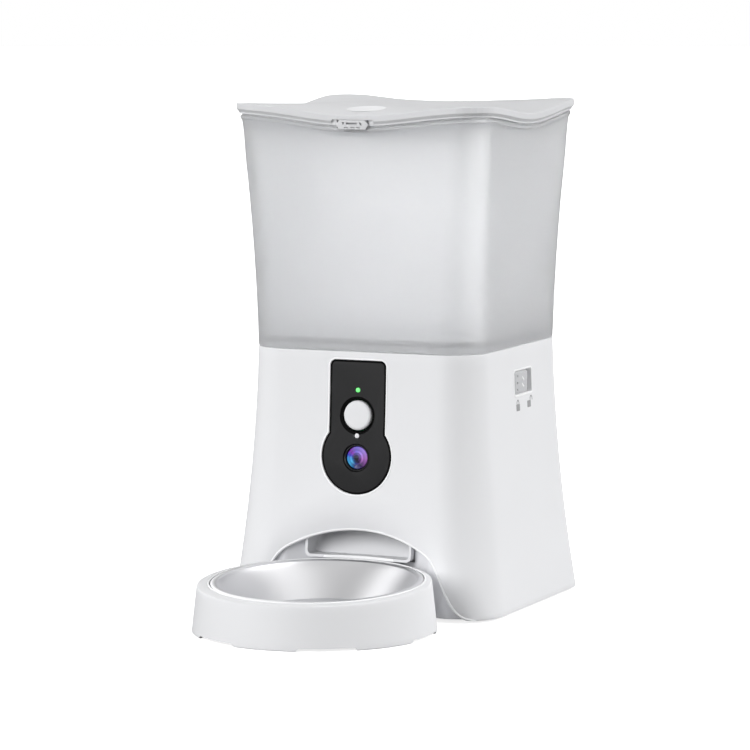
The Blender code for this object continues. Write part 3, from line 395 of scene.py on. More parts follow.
def soft(profile, radius, steps=4):
    """A profile with its corners rounded: each inner point becomes a small arc."""
    points = [profile[0]]
    for before, here, after in zip(profile, profile[1:], profile[2:]):
        a = Vector(before) - Vector(here)
        b = Vector(after) - Vector(here)
        cut = min(radius, a.length * 0.45, b.length * 0.45)
        start = Vector(here) + a.normalized() * cut
        end = Vector(here) + b.normalized() * cut
        for i in range(steps + 1):
            t = i / steps
            spot = start * (1 - t) ** 2 + Vector(here) * 2 * t * (1 - t) + end * t * t
            points.append((spot.x, spot.y))
    return points + [profile[-1]]


def plate(outline, low, high, holes=(), round_r=0.0):
    """A flat plate in XY with holes, from one level to another."""
    curve = bpy.data.curves.new("outline", "CURVE")
    curve.dimensions = "2D"
    curve.fill_mode = "BOTH"
    curve.extrude = (high - low) / 2 - round_r
    curve.bevel_depth = round_r
    curve.bevel_resolution = 2
    curve.offset = -round_r
    for loop in (outline, *holes):
        spline = curve.splines.new("POLY")
        spline.points.add(len(loop) - 1)
        for point, (x, y) in zip(spline.points, loop):
            point.co = (x, y, 0.0, 1.0)
        spline.use_cyclic_u = True
    mesh = evaluated(held(curve))
    bm = bmesh.new()
    bm.from_mesh(mesh)
    bmesh.ops.remove_doubles(bm, verts=bm.verts, dist=0.000002)
    bmesh.ops.translate(bm, vec=(0, 0, (low + high) / 2), verts=bm.verts)
    return mesh_of(bm)


def upright(outline, near, far, holes=(), round_r=0.0):
    """A plate whose outline is in XZ, standing between two Y levels."""
    mesh = plate(outline, -far, -near, holes, round_r)
    mesh.transform(Matrix.Rotation(math.radians(90.0), 4, "X"))
    return mesh


def rod(radius, low, high, steps=48, top_radius=None):
    """A closed round bar or cone along Z."""
    second = radius if top_radius is None else top_radius
    return turned([(0.0, low), (radius, low), (second, high), (0.0, high)], steps)


def show(name, mesh, look, body, *nodes, slot=None):
    """Put a finished piece in the scene: it rides on a body and stands for nodes."""
    mesh.transform(MOVE)
    mesh.name = name
    mesh.materials.clear()
    mesh.materials.append(look)
    made = bpy.data.objects.new(name, mesh)
    bpy.context.scene.collection.objects.link(made)
    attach(made, body)
    if nodes:
        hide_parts(*nodes)
    return made


# ---------------------------------------------------------------- the body's form
def half_width(z):
    """Half the width of the tower at a level: least at the waist."""
    if z <= SEAM_Z:
        t = (SEAM_Z - z) / (SEAM_Z - FOOT_Z)
        return WAIST_HALF + BASE_FLARE * (0.35 * t + 0.65 * t * t)
    t = (z - SEAM_Z) / (RIM_Z - SEAM_Z)
    return WAIST_HALF + HOPPER_FLARE * (0.29 * t + 0.71 * t * t)


def corner_radius(z):
    """Plan corner radius of the tower at a level."""
    if z <= SEAM_Z:
        t = (SEAM_Z - z) / (SEAM_Z - FOOT_Z)
        return WAIST_CORNER + (FOOT_CORNER - WAIST_CORNER) * t
    t = (z - SEAM_Z) / (RIM_Z - SEAM_Z)
    return WAIST_CORNER + (RIM_CORNER - WAIST_CORNER) * t


def front_lean(z):
    """Angle between the front face and the vertical at a level."""
    step = 0.001
    return math.atan((half_width(z - step) - half_width(z + step)) / (2 * step))


def front_place(z, depth=0.0):
    """Location and rotation of a turned piece that looks out of the front face."""
    lean = front_lean(z)
    out = Vector((0.0, -math.cos(lean), math.sin(lean)))
    spot = Vector((0.0, -half_width(z), z)) - out * depth
    return spot, (math.radians(90.0) - lean, 0.0, 0.0)


def rotate(x, y, angle):
    """Turn a plan point about the axis."""
    return (x * math.cos(angle) - y * math.sin(angle),
            x * math.sin(angle) + y * math.cos(angle))


def square(half, radius, corner_steps=12, side_steps=1):
    """A rounded square as (x, y) points, anticlockwise from the right side."""
    points = []
    reach = half - radius
    for quarter in range(4):
        turn = quarter * math.pi / 2
        for i in range(side_steps):
            along = -reach + 2 * reach * i / side_steps
            points.append(rotate(half, along, turn))
        for i in range(corner_steps):
            a = math.pi / 2 * i / corner_steps
            points.append(rotate(reach + radius * math.cos(a),
                                 reach + radius * math.sin(a), turn))
    return points


def circle(radius, count, x=0.0, y=0.0):
    """A circle as (x, y) points."""
    return [(x + radius * math.cos(2 * math.pi * i / count),
             y + radius * math.sin(2 * math.pi * i / count)) for i in range(count)]


def round_box(x0, x1, z0, z1, radius):
    """A rectangle with rounded corners, five points to a corner."""
    points = []
    for cx, cz, a0 in ((x1 - radius, z1 - radius, 0), (x0 + radius, z1 - radius, 90),
                       (x0 + radius, z0 + radius, 180), (x1 - radius, z0 + radius, 270)):
        for i in range(5):
            a = math.radians(a0 + 22.5 * i)
            points.append((cx + radius * math.cos(a), cz + radius * math.sin(a)))
    return points


def levels(low, high, count):
    """Evenly spaced levels, both ends included."""
    return [low + (high - low) * i / (count - 1) for i in range(count)]


def bezier(p0, p1, p2, p3, steps):
    """Points along a cubic curve, the end left out."""
    points = []
    for i in range(steps):
        t = i / steps
        s = 1 - t
        weights = (s * s * s, 3 * s * s * t, 3 * s * t * t, t * t * t)
        points.append(tuple(sum(w * p[k] for w, p in zip(weights, (p0, p1, p2, p3)))
                            for k in (0, 1)))
    return points


def offset(outline, amount):
    """A closed outline moved out along its normals; it runs clockwise seen from -Y."""
    moved = []
    count = len(outline)
    for i, (x, z) in enumerate(outline):
        ax, az = outline[i - 1]
        bx, bz = outline[(i + 1) % count]
        dx, dz = bx - ax, bz - az
        size = math.hypot(dx, dz) or 1.0
        moved.append((x - dz / size * amount, z + dx / size * amount))
    return moved


def arch_half(base):
    """The right half of the bell-shaped front opening, from its crown to its toe."""
    right = bezier((0, base + 0.0500), (0.0162, base + 0.0500),
                   (0.0320, base + 0.0458), (0.0460, base + 0.0376), 18)
    right += bezier((0.0460, base + 0.0376), (0.0529, base + 0.0335),
                    (0.0569, base + 0.0229), (0.0610, base + 0.0160), 12)
    right += bezier((0.0610, base + 0.0160), (0.0656, base + 0.0082),
                    (0.0700, base), (0.0790, base), 12)
    right.append((0.0790, base))
    return right


ARCH = arch_half(FOOT_Z)


def arch_outline(grow=0.0, floor=-0.01):
    """The whole opening as a closed outline, grown by an amount."""
    right = ARCH + [(0.0790, floor)]
    left = [(-x, z) for x, z in reversed(right) if x > 0]
    return offset(right + left, grow)


def arch_height(x):
    """Height of the opening's edge over a point of the front."""
    x = abs(x)
    for (x0, z0), (x1, z1) in zip(ARCH, ARCH[1:]):
        if x <= x1:
            return z0 + (z1 - z0) * (x - x0) / max(x1 - x0, 1e-6)
    return FOOT_Z


def brow(x, z):
    """How far the front rolls back as it comes down to the opening's edge."""
    wide = max(0.0, 1.0 - (x / 0.062) ** 2)
    up = min(max((z - arch_height(x)) / BROW_RISE, 0.0), 1.0)
    return BROW_DEPTH * wide * (1.0 - up) ** 2


def front_y(x, z):
    """The front surface over a point."""
    half = half_width(z)
    radius = corner_radius(z)
    past = abs(x) - (half - radius)
    if past <= 0:
        return -half + brow(x, z)
    return -(half - radius) - math.sqrt(max(radius ** 2 - past ** 2, 0.0)) + brow(x, z)


def on_front(x, z, depth):
    """A point of the front face, some depth behind it; the brow is left out."""
    return (x, -half_width(z) + depth, z)


def on_brow(x, z, depth):
    """A point of the front face where it rolls back over the opening."""
    return (x, front_y(x, z) + depth, z)


def on_side(y, z, proud):
    """A point of the right face, a little proud of it."""
    return (half_width(z) + proud, y, z)


def bands(outline_at, place, steps):
    """Rings on a face, from steps of (depth, grow)."""
    return [[place(a, z, depth) for a, z in outline_at(grow)] for depth, grow in steps]


def edge_cutter(outline_at, back_y, round_r, start=0.0):
    """A guide that cuts through the front and leaves the edge rounded.

    outline_at(grow) is the opening's outline grown by an amount."""
    wide = start + round_r + 0.0020
    rings = [[(x, -0.1100, z) for x, z in outline_at(wide)]]
    for i in range(6):
        a = math.radians(76.0 * (1 - i / 5))
        rings += bands(outline_at, on_brow, [(round_r * (1 - math.sin(a)),
                                              start + round_r * (1 - math.cos(a)))])
    rings.append([(x, back_y, z) for x, z in outline_at(start)])
    return loft(rings, caps=True)


def keyhole(grow=0.0):
    """The control panel's outline in XZ: a rounded strip over a round eye."""
    half = PANEL_HALF + grow
    top = PANEL_TOP + grow
    round_r = max(0.0035 + grow, 0.0004)
    eye = PANEL_EYE_R + grow
    neck = math.acos(half / eye)
    right = []
    for i in range(9):
        a = math.pi / 2 * (1 - i / 8)
        right.append((half - round_r + round_r * math.cos(a),
                      top - round_r + round_r * math.sin(a)))
    low = PANEL_EYE_Z + eye * math.sin(neck)
    for i in range(1, 6):
        right.append((half, top - round_r + (low - top + round_r) * i / 6))
    count = 36
    for i in range(count):
        a = neck - (neck + math.pi / 2) * i / count
        right.append((eye * math.cos(a), PANEL_EYE_Z + eye * math.sin(a)))
    left = [(-x, z) for x, z in reversed(right)]
    return right + [(0.0, PANEL_EYE_Z - eye)] + left


def lid_edge(x, y):
    """Height of the lid's waved edge over a plan point."""
    along = min(abs(x), abs(y), LID_WAVE_HALF)
    return LID_EDGE_MEAN - LID_EDGE_WAVE * math.cos(math.pi * along / LID_WAVE_HALF)


def tower_ring(z, inset=0.0, shaped=False, side_steps=1):
    """The tower's outline at a level, pulled in by an inset."""
    half = half_width(z) - inset
    radius = max(corner_radius(z) - inset, 0.004)
    ring = []
    for x, y in square(half, radius, side_steps=side_steps):
        if shaped and y < 0:
            y += brow(x, z)
        ring.append((x, y, z))
    return ring


def tower_solid(low, high, inset):
    """The solid space inside the tower between two levels."""
    return loft([tower_ring(z, inset, True, 29) for z in levels(low, high, 41)], caps=True)


# ---------------------------------------------------------------- the looks
WHITE = finish("white_abs", (0.80, 0.805, 0.82), 0.42, grain=1400, relief=0.010,
               Specular_IOR_Level=0.24)
WHITE_IN = finish("white_abs_inside", (0.74, 0.745, 0.765), 0.45, grain=900, relief=0.02)
# A whiter copy of the white plastic for rounded edges and beads: painted highlight lines
# where those edges catch the light
WHITE_HIGHLIGHT = finish("white_abs_painted_highlight", (0.94, 0.945, 0.955), 0.36, grain=1400, relief=0.008)
# A darker copy of the inside plastic: painted shade on the funnel, which the frosted hopper
# shows as a darker foot
SHADED_IN = finish("abs_inside_painted_shade", (0.58, 0.585, 0.60), 0.45, grain=900, relief=0.02)
BAY_LOOK = finish("bay_abs", (0.76, 0.765, 0.79), 0.50, grain=900, relief=0.02)
# A grey for the lock's knob: painted shade for the knob sitting in its slot
KNOB_SHADE_LOOK = finish("lock_knob_painted_shade", (0.56, 0.565, 0.58), 0.40, grain=1300, relief=0.01)
FROST = finish("frosted_clear", (0.94, 0.945, 0.955), 0.48, grain=1600, relief=0.015,
               Transmission_Weight=0.84, IOR=1.45, Coat_Weight=1.0, Coat_Roughness=0.30)
LID_LOOK = finish("frosted_lid", (0.78, 0.785, 0.80), 0.38, grain=1600, relief=0.015,
                  Transmission_Weight=0.15, IOR=1.45, Specular_IOR_Level=0.12)
# A lighter copy of the lid's plastic for the thumb dimple's lining: painted light in the
# dimple
DISH_LIGHT_LOOK = finish("frosted_dimple_painted_light", (0.83, 0.835, 0.85), 0.34, grain=1600, relief=0.010,
                   Specular_IOR_Level=0.25)
PANEL_LOOK = finish("panel_gloss", (0.014, 0.014, 0.015), 0.30, grain=1500,
                    relief=0.006, vary=0.02, tone=0.9)
# A deeper, matte black for the panel's edge and the dishes round the button and the lens:
# painted shade
PANEL_SHADE = finish("panel_painted_shade", (0.001, 0.001, 0.001), 0.50, grain=1500, relief=0.004,
                   Specular_IOR_Level=0.10)
MATTE = finish("black_matte", (0.012, 0.012, 0.013), 0.55, grain=700, relief=0.05)
STEEL = finish("satin_steel", (0.80, 0.80, 0.815), 0.36, 1.0, grain=2600, relief=0.02,
               vary=0.01)
MOTOR = finish("motor_steel", (0.50, 0.50, 0.52), 0.35, 1.0, grain=300, relief=0.03,
               stretch=(1.0, 1.0, 12.0))
RUBBER = finish("grey_rubber", (0.10, 0.10, 0.105), 0.78, grain=500, relief=0.12)
SILICONE = finish("white_silicone", (0.70, 0.71, 0.73), 0.62, grain=700, relief=0.06,
                  Sheen_Weight=0.1)
GREEN_LIGHT = finish("green_light", (0.16, 0.80, 0.20), 0.30, grain=900, relief=0.01,
                     Emission_Color=(0.20, 0.85, 0.25, 1.0), Emission_Strength=0.55)
WINDOW_LOOK = finish("sensor_window", (0.82, 0.82, 0.84), 0.30, grain=900, relief=0.01)
BUTTON_LOOK = finish("button_abs", (0.78, 0.785, 0.80), 0.38, grain=1300, relief=0.01)
PRINT = finish("print_grey", (0.34, 0.34, 0.35), 0.50, grain=900, relief=0.02)
NYLON = finish("gear_nylon", (0.74, 0.72, 0.63), 0.45, grain=600, relief=0.04)
CELL = finish("cell_wrap", (0.05, 0.055, 0.07), 0.32, 0.4, grain=200, relief=0.02)
SPRING = finish("spring_steel", (0.66, 0.66, 0.66), 0.30, 1.0, grain=900, relief=0.02)
BOARD = finish("circuit_green", (0.012, 0.14, 0.055), 0.42, grain=260, relief=0.10,
               tone=0.75)
LENS = lens_painted_reflections()
paint_shade_below(FROST, 0.158, 0.192, 0.86)       # painted shade: the empty hopper is darkened towards its foot
paint_shade_below(FROST, 0.170, 0.300, 0.90)
absorb(FROST, 26.0)


# ---------------------------------------------------------------- base
def side_slot(grow):
    """The lock slot's outline in YZ, grown by an amount."""
    return round_box(LOCK_SLOT[0] - grow, LOCK_SLOT[1] + grow,
                     LOCK_Z - LOCK_HEIGHT / 2 - grow, LOCK_Z + LOCK_HEIGHT / 2 + grow,
                     0.0014 + grow)


def side_cutter(outline_at, back_x, round_r):
    """A guide that cuts through the right side and leaves the edge rounded."""
    rings = [[(0.1000, y, z) for y, z in outline_at(round_r + 0.0020)]]
    for i in range(5):
        a = math.radians(76.0 * (1 - i / 4))
        rings += bands(outline_at, on_side, [(-round_r * (1 - math.sin(a)),
                                              round_r * (1 - math.cos(a)))])
    rings.append([(back_x, y, z) for y, z in outline_at(0.0)])
    return loft(rings, caps=True)


def make_base():
    """Shell with its rounded arch, panel recess, lock slot, deck and vents."""
    top = SEAM_Z - GAP / 2
    brow_top = 0.0760
    heights = levels(FOOT_Z + 0.0007, brow_top, 31)
    heights += levels(brow_top, top - 0.0008, 16)[1:]

    def ring(z, inset=0.0):
        return tower_ring(z, inset, True, 36)

    rings = [ring(FOOT_Z, 0.0007), ring(FOOT_Z + 0.0002, 0.0002)]
    rings += [ring(z) for z in heights]
    rings += [ring(top - 0.0004, 0.0001), ring(top - 0.0001, 0.0004), ring(top, 0.0008)]
    rings += [ring(z, BASE_WALL) for z in (top, *reversed(levels(brow_top, DECK_Z, 5)),
                                           *reversed(levels(FOOT_Z, brow_top, 25)[:-1]))]
    shell = loft(rings, closed=True)
    cuts = [edge_cutter(arch_outline, -0.0450, 0.0013),
            edge_cutter(keyhole, -0.0660, 0.0008, GAP),
            side_cutter(side_slot, 0.0660, 0.0007)]
    hole = turned([(0.0, -0.012), (0.0052, -0.012), (0.0052, 0.0010), (0.0066, 0.0024),
                   (0.0066, 0.0100), (0.0, 0.0100)], 48)
    cuts.append(placed(hole, (INLET_X, 0.087, INLET_Z), (math.radians(-90.0), 0, 0)))
    vent_r = 0.0011
    for i in range(5):
        x = (i - 2) * 0.0050
        cuts.append(upright([(x + vent_r * math.cos(a), z + vent_r * math.sin(a))
                             for z, a0 in ((0.1149, 0), (0.0931, 180))
                             for a in [math.radians(a0 + 30 * k) for k in range(7)]],
                            0.070, 0.095))
    shell = carve(shell, cuts=cuts, sharp=26.0)
    show("base_shell_look", shell, WHITE, "base", "base_shell", slot="white_abs")
    deck_half = half_width(DECK_Z) - BASE_WALL - GAP
    keeper_slot = [(0.0600, -0.0260), (0.0695, -0.0260), (0.0695, -0.0150),
                   (0.0600, -0.0150)]
    deck = plate(square(deck_half, corner_radius(DECK_Z) - BASE_WALL), DECK_Z,
                 DECK_Z + DECK_THICK, [circle(HOUSING_R + 0.0020, 96), keeper_slot])
    show("base_deck_look", deck, WHITE_IN, "base", slot="white_abs")


def make_bay():
    """Hood behind the arch, swept back to a round wall behind the tray."""
    outer = upright(arch_outline(0.0026), -0.100, -0.040)
    core = upright(arch_outline(0.0006), -0.120, -0.030)
    core = carve(core, meets=[placed(rod(BAY_R, -0.02, 0.08, FINE), (0, TRAY_Y, 0))])
    mouth = block((-CHUTE_HALF - GAP, -0.095, CHUTE_LIP_Z - CHUTE_WALL - GAP),
                  (CHUTE_HALF + GAP, -0.030, 0.080))
    tongue = block((-0.0215, -0.075, -0.01), (0.0215, -0.030, 0.0068))
    reach = placed(rod(BAY_R + 0.0020, -0.02, 0.08, FINE), (0, TRAY_Y, 0))
    forward = block((-0.0900, -0.1200, -0.0190), (0.0900, -0.0720, 0.0790))
    reach = carve(reach, adds=[forward])
    bay = carve(outer, cuts=[core, mouth, tongue],
                meets=[reach, tower_solid(0.00251, 0.0800, BASE_WALL + GAP)])
    show("bowl_bay_look", bay, BAY_LOOK, "base", "bowl_bay", slot="white_abs")


def make_arch_edge():
    """Rounded bead along the opening's edge, in the whiter plastic: a painted highlight."""
    rings = bands(arch_outline, on_brow,
                  ((0.0020, 0.0005), (0.0006, -0.0001), (0.0000, 0.0001),
                   (-0.0003, 0.0005), (-0.0003, 0.0010), (0.0000, 0.0015),
                   (0.0012, 0.0018)))
    near = block((-0.0900, -0.1000, FOOT_Z + 0.0003), (0.0900, -0.0500, 0.0800))
    bead = carve(loft(rings, closed=True), meets=[near], sharp=60.0)
    show("arch_edge_highlight_look", bead, WHITE_HIGHLIGHT, "base", slot="white_abs")


def u_section(half, low, high, radius, y_low, y_high):
    """A ring with a flat top and two rounded lower corners, leaning in Y."""
    flat = [(half, high)]
    for cx, a0 in ((half - radius, 0), (-half + radius, -90)):
        for i in range(7):
            a = math.radians(a0 - 90.0 * i / 6)
            flat.append((cx + radius * math.cos(a), low + radius + radius * math.sin(a)))
    flat.append((-half, high))
    lean = (y_high - y_low) / (high - low)
    return [(x, y_low + lean * (z - low), z) for x, z in flat]


def make_chute():
    """Chute with rounded lower corners, its lip following the bowl's rim."""
    wall = CHUTE_WALL
    half = CHUTE_HALF
    low = CHUTE_LIP_Z
    top = HOUSING_FLOOR_Z - GAP

    def flat_ring(half_x, y_front, y_back):
        ring = [(half_x, y_front, top)]
        for cx in (half_x, -half_x):
            for i in range(7):
                ring.append((cx, y_back, top))
        ring.append((-half_x, y_front, top))
        return ring

    outer = [u_section(half, low - wall, 0.0560, 0.0036, -0.0950, -0.0950),
             u_section(half, low - wall, 0.0560, 0.0036, -0.0640, -0.0660),
             flat_ring(0.0250, -0.0512, -0.0204)]
    inner = [u_section(half - wall, low, 0.0700, 0.0026, -0.1000, -0.1000),
             u_section(half - wall, low, 0.0540, 0.0026, -0.0655, -0.0800),
             flat_ring(0.0234, -0.0495, -0.0221)]
    inner.append([(x, y, 0.1200) for x, y, z in inner[-1]])
    bowl, lip = [placed(rod(BOWL_R + past, -0.02, 0.0600, FINE), (0, BOWL_Y, 0))
                 for past in (0.0006, 0.0018)]
    duct = carve(loft(outer, caps=True), cuts=[loft(inner, caps=True), bowl],
                 meets=[tower_solid(0.0100, 0.1300, BASE_WALL + GAP)])
    # The lip becomes its own piece in the whiter plastic: a painted highlight along the
    # chute's edge.
    lip_highlight = carve(duct.copy(), meets=[lip.copy()])
    show("chute_look", carve(duct, cuts=[lip]), WHITE_IN, "base", "chute", slot="white_abs")
    show("chute_edge_highlight_look", lip_highlight, WHITE_HIGHLIGHT, "base", slot="white_abs")


def front_disc(mesh, z):
    """Set a turned piece on the front face at a level."""
    spot, turn = front_place(z)
    return placed(mesh, spot, turn)


def make_panel():
    """Dark keyhole panel, dished round the button and the lens, with painted shade: a black
    matte rim and black linings in the dishes.
    """
    body = loft(bands(keyhole, on_front,
                      ((0.0018, 0.0), (0.0007, 0.0), (0.0003, -0.0001),
                       (0.0001, -0.0004), (0.0000, -0.0008))), caps=True)
    cuts = []
    for z, radius, dish, deep in ((BUTTON_Z, BUTTON_R + 0.0008, 0.0016, 0.0012),
                                  (LENS_Z, LENS_R + 0.0006, 0.0010, 0.0009),
                                  (LIGHT_Z, 0.0016, 0.0002, 0.0002),
                                  (WINDOW_Z, 0.0017, 0.0006, 0.0005)):
        cut = turned([(0.0, -0.010), (radius, -0.010), (radius, -deep),
                      (radius + dish, 0.0), (radius + dish, 0.004), (0.0, 0.004)], 96)
        cuts.append(front_disc(cut, z))
    body = carve(body, cuts=cuts, sharp=20.0)
    show("front_panel_look", body, PANEL_LOOK, "base", "front_panel", slot="black_gloss")
    # Painted shade: a black matte rim along the panel's edge.
    rim = bands(keyhole, on_front,
                ((0.0012, 0.00005), (0.0003, 0.0), (-0.00006, -0.0005),
                 (-0.00006, -0.0010), (0.0002, -0.0012), (0.0012, -0.0012)))
    show("panel_rim_look", loft(rim, closed=True), PANEL_SHADE, "base", slot="black_gloss")
    # The bezel round the panel is whiter than the shell: a painted highlight on its rounded
    # edge.
    bezel = bands(keyhole, on_front,
                  ((0.0012, 0.0003), (0.0000, 0.0003), (-0.00022, 0.0006),
                   (-0.00022, 0.0011), (0.0000, 0.0015), (0.0012, 0.0016)))
    show("panel_bezel_highlight_look", loft(bezel, closed=True, sharp=60.0), WHITE_HIGHLIGHT, "base",
         slot="white_abs")
    # Painted shade: black linings in the dishes round the button and the lens.
    for name, z, radius, wide in (("button_well_shade_look", BUTTON_Z, BUTTON_R + 0.0008, 0.0016),
                                  ("lens_well_shade_look", LENS_Z, LENS_R + 0.0006, 0.0010)):
        ring = turned([(radius, -0.0030), (radius, -0.0011), (radius + wide * 0.5, -0.0004),
                       (radius + wide, 0.00005), (radius + wide + 0.0003, 0.00005),
                       (radius + wide + 0.0003, -0.0030), (radius, -0.0030)], 96)
        show(name, front_disc(ring, z), PANEL_SHADE, "base", slot="black_gloss")


def make_panel_pieces():
    """Light, window, camera and button."""
    light = turned(soft([(0.0, 0.0003), (0.0014, 0.0002), (0.0014, -0.0070),
                         (0.0, -0.0070)], 0.0004), 48)
    show("status_light_look", front_disc(light, LIGHT_Z), GREEN_LIGHT, "base",
         "status_light", slot="green_light")
    window = turned(soft([(0.0, 0.0002), (0.0015, 0.0001), (0.0015, -0.0070),
                          (0.0, -0.0070)], 0.0004), 48)
    show("sensor_window_look", front_disc(window, WINDOW_Z), WINDOW_LOOK, "base",
         "sensor_window", slot="white_silicone")
    cap = turned(soft([(0.0, 0.0009), (0.0078, 0.0008), (0.0088, 0.0002),
                       (BUTTON_R, -0.0008), (BUTTON_R, -0.0030), (0.0030, -0.0030),
                       (0.0030, -0.0062), (0.0, -0.0062)], 0.0003), 96)
    show("feed_button_look", front_disc(cap, BUTTON_Z), BUTTON_LOOK, "button",
         "feed_button", slot="white_abs")
    barrel = turned([(0.0, -0.0040), (0.0052, -0.0036), (LENS_R + GAP, -0.0032),
                     (LENS_R + GAP, -0.0006), (0.0079, -0.0008), (0.0079, -0.0148),
                     (0.0, -0.0148)], 72)
    show("camera_barrel_look", front_disc(barrel, LENS_Z), MATTE, "base", "camera_barrel",
         slot="black_matte")
    dome = turned([(0.0, 0.0002), (0.0015, 0.0001), (0.0029, -0.0002), (0.0030, -0.0006),
                   (0.0034, -0.0007), (0.0044, -0.0006), (0.0056, -0.0010),
                   (0.0066, -0.0014), (LENS_R, -0.0020), (LENS_R, -0.0028),
                   (0.0, -0.0033)], 96, 20.0)
    show("camera_lens_look", front_disc(dome, LENS_Z), LENS, "base", "camera_lens",
         slot="lens_glass")


def side_print(name, outline, holes=()):
    """A printed mark: a film of ink on the right face."""
    flat = plate(outline, 0.0, 0.00006, holes)
    for vertex in flat.vertices:
        y, z, up = vertex.co
        vertex.co = on_side(y, z, up - 0.00001)
    show(name, shaded(flat), PRINT, "base")


def padlock_body(y, z):
    """The body of a padlock mark."""
    return round_box(y - 0.0029, y + 0.0029, z - 0.0021, z + 0.0021, 0.0005)


def padlock_shackle(y, z, low):
    """The bow of a padlock mark, an arch of even width."""
    outer = []
    inner = []
    for i in range(13):
        a = math.pi * i / 12
        outer.append((y + 0.0021 * math.cos(a), z + 0.0024 * math.sin(a)))
        inner.append((y + 0.0012 * math.cos(a), z + 0.0014 * math.sin(a)))
    right_foot = [(y + 0.0012, z - low), (y + 0.0021, z - low)]
    left_foot = [(y - 0.0021, z - 0.0008), (y - 0.0012, z - 0.0008)]
    return right_foot + outer + left_foot + list(reversed(inner))


def make_marks():
    """Closed and open padlock marks under the lock slot."""
    side_print("mark_closed_body", padlock_body(-0.0068, 0.1238))
    side_print("mark_closed_bow", padlock_shackle(-0.0068, 0.1264, 0.0008))
    side_print("mark_open_body", padlock_body(0.0118, 0.1244))
    side_print("mark_open_bow", padlock_shackle(0.0155, 0.1272, 0.0008))


def make_lock():
    """Sliding knob with three dimples and two slanted bumps; the knob's grey is painted
    shade, and the bumps and the slot's bezel are whiter as painted highlights.
    """
    out = half_width(LOCK_Z)
    y0 = LOCK_SLOT[0] + GAP
    half = LOCK_HEIGHT / 2 - GAP
    knob = block((out - 0.0052, y0, LOCK_Z - half),
                 (out + 0.0003, y0 + LOCK_KNOB, LOCK_Z + half), 0.0014)
    dimples = []
    for i in range(3):
        dimple = turned([(0.0, -0.0006), (0.0006, -0.0004), (0.0009, 0.0004),
                         (0.0009, 0.002), (0.0, 0.002)], 24)
        dimples.append(placed(dimple, (out, y0 + 0.0042, LOCK_Z + (i - 1) * 0.0042),
                              (0, math.radians(90.0), 0)))
    lower, upper = [placed(block((-0.0006, -0.0020, -0.0008), (0.0006, 0.0020, 0.0008),
                                 0.0004),
                           (out, y0 + 0.0130, LOCK_Z + z), (math.radians(-32.0), 0, 0))
                    for z in (-0.0021, 0.0021)]
    # The bumps are whiter than the knob: painted highlights.
    show("lock_bumps_highlight_look", carve(lower, adds=[upper]), WHITE_HIGHLIGHT, "lock",
         slot="white_abs")
    # A whiter bezel round the slot: a painted highlight on its rounded edge.
    rings = bands(side_slot, on_side,
                  ((-0.0030, -0.00012), (-0.0003, -0.00012), (0.0001, 0.0002),
                   (0.0002, 0.0006), (0.0002, 0.0010), (0.0000, 0.0013),
                   (-0.0012, 0.0014)))
    show("lock_bezel_highlight_look", loft(rings, closed=True, sharp=60.0), WHITE_HIGHLIGHT, "base",
         slot="white_abs")
    # The knob's grey is painted shade.
    show("lock_knob_look", carve(knob, cuts=dimples), KNOB_SHADE_LOOK, "lock", "lock_knob",
         slot="white_abs")


def corners(wide, ends):
    """Name and plan point of each of four like pieces."""
    return [(f"{end}_{side}", x, y) for end, y in zip(("front", "rear"), ends)
            for side, x in (("left", -wide), ("right", wide))]


